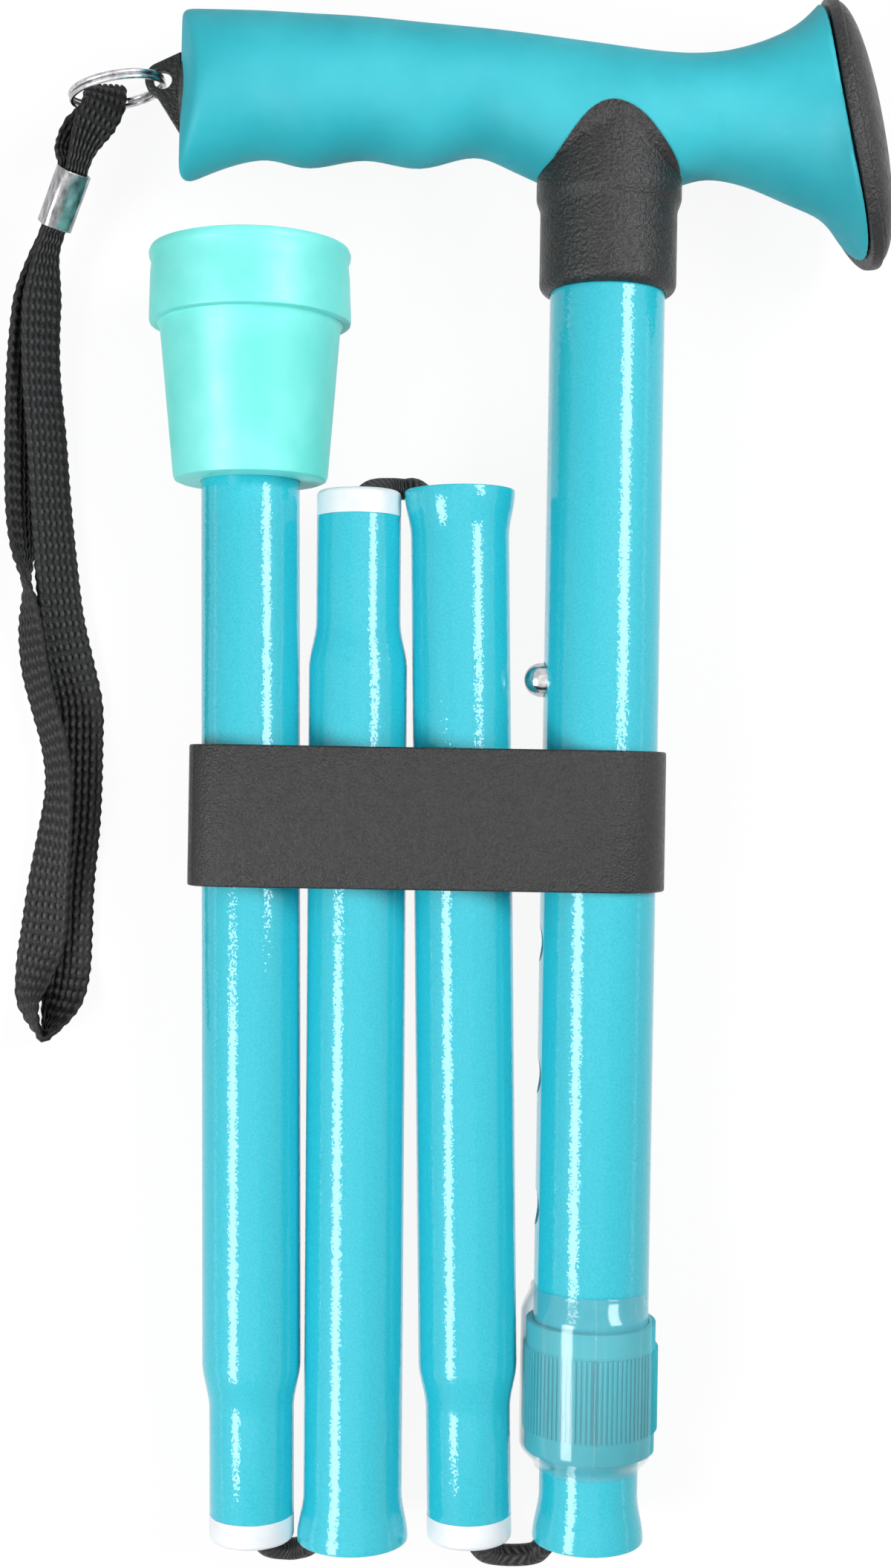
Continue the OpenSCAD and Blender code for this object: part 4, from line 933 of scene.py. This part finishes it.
# holding clip: closed in front, open at the back
clip = {"y": 138.5, "h": 26.8, "wall": 1.3, "in": 11.45, "left": -77.32, "corner": 6, "hook": 8,
        "hookTurn": 0.15, "frontFrom": 6, "frontTo": -4, "open": 0.35}
rMid = clip["in"] + clip["wall"] / 2
cMid = clip["corner"] + clip["wall"] / 2
cornerX = clip["left"] - clip["wall"] / 2 + cMid
line = [(clip["left"] + clip["hook"], -rMid), (cornerX, -rMid)]
line += [(cornerX - cMid * math.sin(a), -rMid + cMid - cMid * math.cos(a))
         for a in np.linspace(clip["hookTurn"], math.pi / 2, 8)]
line += [(cornerX - cMid * math.cos(a), rMid - cMid + cMid * math.sin(a))
         for a in np.linspace(0, math.pi / 2, 9)]
line += [(x, rMid) for x in np.linspace(cornerX + clip["frontFrom"], clip["frontTo"], 12)]
line += [(rMid * math.sin(a), rMid * math.cos(a)) for a in np.linspace(0, math.pi - clip["open"], 36)]
holdingClip = startChain("holdingClip", [fromMouth(x, clip["y"] - clip["h"] / 2, z) for x, z in line])
bpy.ops.mesh.extrude_region_move(TRANSFORM_OT_translate={"value": (0, clip["h"] * mm, 0)})
mendNormals()
bpy.ops.object.mode_set(mode="OBJECT")
modify(holdingClip, "SOLIDIFY", thickness=clip["wall"] * mm, offset=0)
bevelEdges(holdingClip, 0.45, segments=4, angle=60)
hand(settle(holdingClip), "clip", "clip_plastic", "holding_clip")
print("clip done")

# pieces of the frame that stay as they are, out of sight
for name, obj in frame["nodes"].items():
    if not obj.hide_render:
        slotName = next(p["material_slot"] for p in frame["record"]["subparts"] if p["node"] == name)
        obj.data.materials.clear()
        obj.data.materials.append(paints[slotName])

# floor, light and camera
# the folded cane rests on its foot and on its lower end, so the floor rises to there and then falls away
floor = {"slope": 0.0267, "touchY": 0.0889, "from": 0.2, "to": -0.17, "fall": -0.25, "low": -0.002,
         "half": 3.0, "bounce": 0.3, "paper": 0.95, "glow": 0.92}
highest = floor["slope"] * (floor["touchY"] - floor["to"])
bend = [(floor["half"], floor["slope"] * (floor["touchY"] - floor["from"]))]
bend += [(y, floor["slope"] * (floor["touchY"] - y)) for y in (floor["from"], floor["touchY"], 0)]
bend += [(y, z) for z, y in eased(highest, floor["to"], floor["low"], floor["fall"], 10)]
bend += [(-floor["half"], floor["low"])]
ground = startChain("floor", [(-floor["half"], y, z) for y, z in bend])
bpy.ops.mesh.extrude_region_move(TRANSFORM_OT_translate={"value": (2 * floor["half"], 0, 0)})
mendNormals()
bpy.ops.object.mode_set(mode="OBJECT")
settle(ground, smooth=60)


def seenRays(tree):
    # 1 for what the camera sees, straight or in gloss and clear plastic, 0 for light on the object
    path = tree.nodes.new("ShaderNodeLightPath")
    total = path.outputs["Is Camera Ray"]
    for ray in ("Is Glossy Ray", "Is Transmission Ray"):
        more = tree.nodes.new("ShaderNodeMath")
        more.operation = "ADD"
        more.use_clamp = True
        tree.links.new(total, more.inputs[0])
        tree.links.new(path.outputs[ray], more.inputs[1])
        total = more.outputs[0]
    return total


paper = bpy.data.materials.new("paper")
paper.use_nodes = True
tree = paper.node_tree
matte = tree.nodes["Principled BSDF"]
matte.inputs["Roughness"].default_value = 0.9
glow = tree.nodes.new("ShaderNodeEmission")
glow.inputs["Strength"].default_value = 1.0
seen = seenRays(tree)
share = tree.nodes.new("ShaderNodeMath")
share.operation = "MULTIPLY"
share.inputs[1].default_value = floor["glow"]
tree.links.new(seen, share.inputs[0])
shade = tree.nodes.new("ShaderNodeMapRange")  # darker to the object than to the camera
shade.inputs["To Min"].default_value = floor["bounce"]
shade.inputs["To Max"].default_value = floor["paper"]
tree.links.new(seen, shade.inputs["Value"])
tree.links.new(shade.outputs["Result"], matte.inputs["Base Color"])
both = tree.nodes.new("ShaderNodeMixShader")
tree.links.new(share.outputs[0], both.inputs[0])
tree.links.new(matte.outputs[0], both.inputs[1])
tree.links.new(glow.outputs[0], both.inputs[2])
tree.links.new(both.outputs[0], tree.nodes["Material Output"].inputs["Surface"])
ground.data.materials.append(paper)

studio = {"fill": 0.17, "seen": 1.0, "lamps": {
    # place, what it points at, width, length, watts, and whether it only shows in gloss
    "keyUpper": ((0.42, 0.23, 0.52), (-0.01, 0.2, 0.02), 0.22, 0.42, 3.4, False),
    "keyLower": ((-0.44, -0.25, 0.52), (-0.01, -0.2, 0.02), 0.22, 0.42, 3.4, False),
    "stripUpper": ((0.42, 0.23, 0.52), (-0.01, 0.2, 0.02), 0.22, 0.42, 5.6, True),
    "stripLower": ((-0.44, -0.25, 0.52), (-0.01, -0.2, 0.02), 0.22, 0.42, 5.6, True),
    "overhead": ((0.05, 0, 1.3), (0, 0, 0), 1.0, 1.5, 2.4, False),
    "edgeRight": ((1.2, 0, 0.1), (0, 0, 0.02), 0.12, 2.0, 0.8, False),
    "edgeLeft": ((-1.2, 0, 0.1), (0, 0, 0.02), 0.12, 2.0, 0.9, False)}}
world = bpy.data.worlds.new("studio")
bpy.context.scene.world = world
world.use_nodes = True
sky = world.node_tree.nodes["Background"]
sky.inputs["Color"].default_value = (1, 1, 1, 1)
fill = world.node_tree.nodes.new("ShaderNodeMapRange")
fill.inputs["To Min"].default_value = studio["fill"]
fill.inputs["To Max"].default_value = studio["seen"]
world.node_tree.links.new(seenRays(world.node_tree), fill.inputs["Value"])
world.node_tree.links.new(fill.outputs["Result"], sky.inputs["Strength"])


def softbox(name, place, target, width, length, power, glossOnly):
    lamp = bpy.data.lights.new(name, "AREA")
    lamp.shape = "RECTANGLE"
    lamp.size, lamp.size_y = width, length
    lamp.energy = power
    obj = bpy.data.objects.new(name, lamp)
    bpy.context.scene.collection.objects.link(obj)
    obj.location = place
    # its long side lies along Y
    back = (Vector(place) - Vector(target)).normalized()
    across = Vector((0, 1, 0)).cross(back).normalized()
    obj.rotation_euler = Matrix((across, back.cross(across), back)).transposed().to_euler()
    obj.visible_diffuse = not glossOnly


for name, settings in studio["lamps"].items():
    softbox(name, *settings)

shot = {"x": -29.74, "y": 145.1, "high": 395, "roll": 0.0163, "lens": 46.93}
eye = bpy.data.cameras.new("photoCamera")
eye.lens = shot["lens"]
eye.sensor_width = 36
eye.sensor_fit = "AUTO"
eye.clip_start = 0.01
camera = bpy.data.objects.new("photoCamera", eye)
bpy.context.scene.collection.objects.link(camera)
camera.location = fromMouth(shot["x"], shot["y"], shot["high"])
camera.rotation_euler = (0, 0, shot["roll"])
bpy.context.scene.camera = camera
bpy.context.scene.view_settings.view_transform = "Standard"
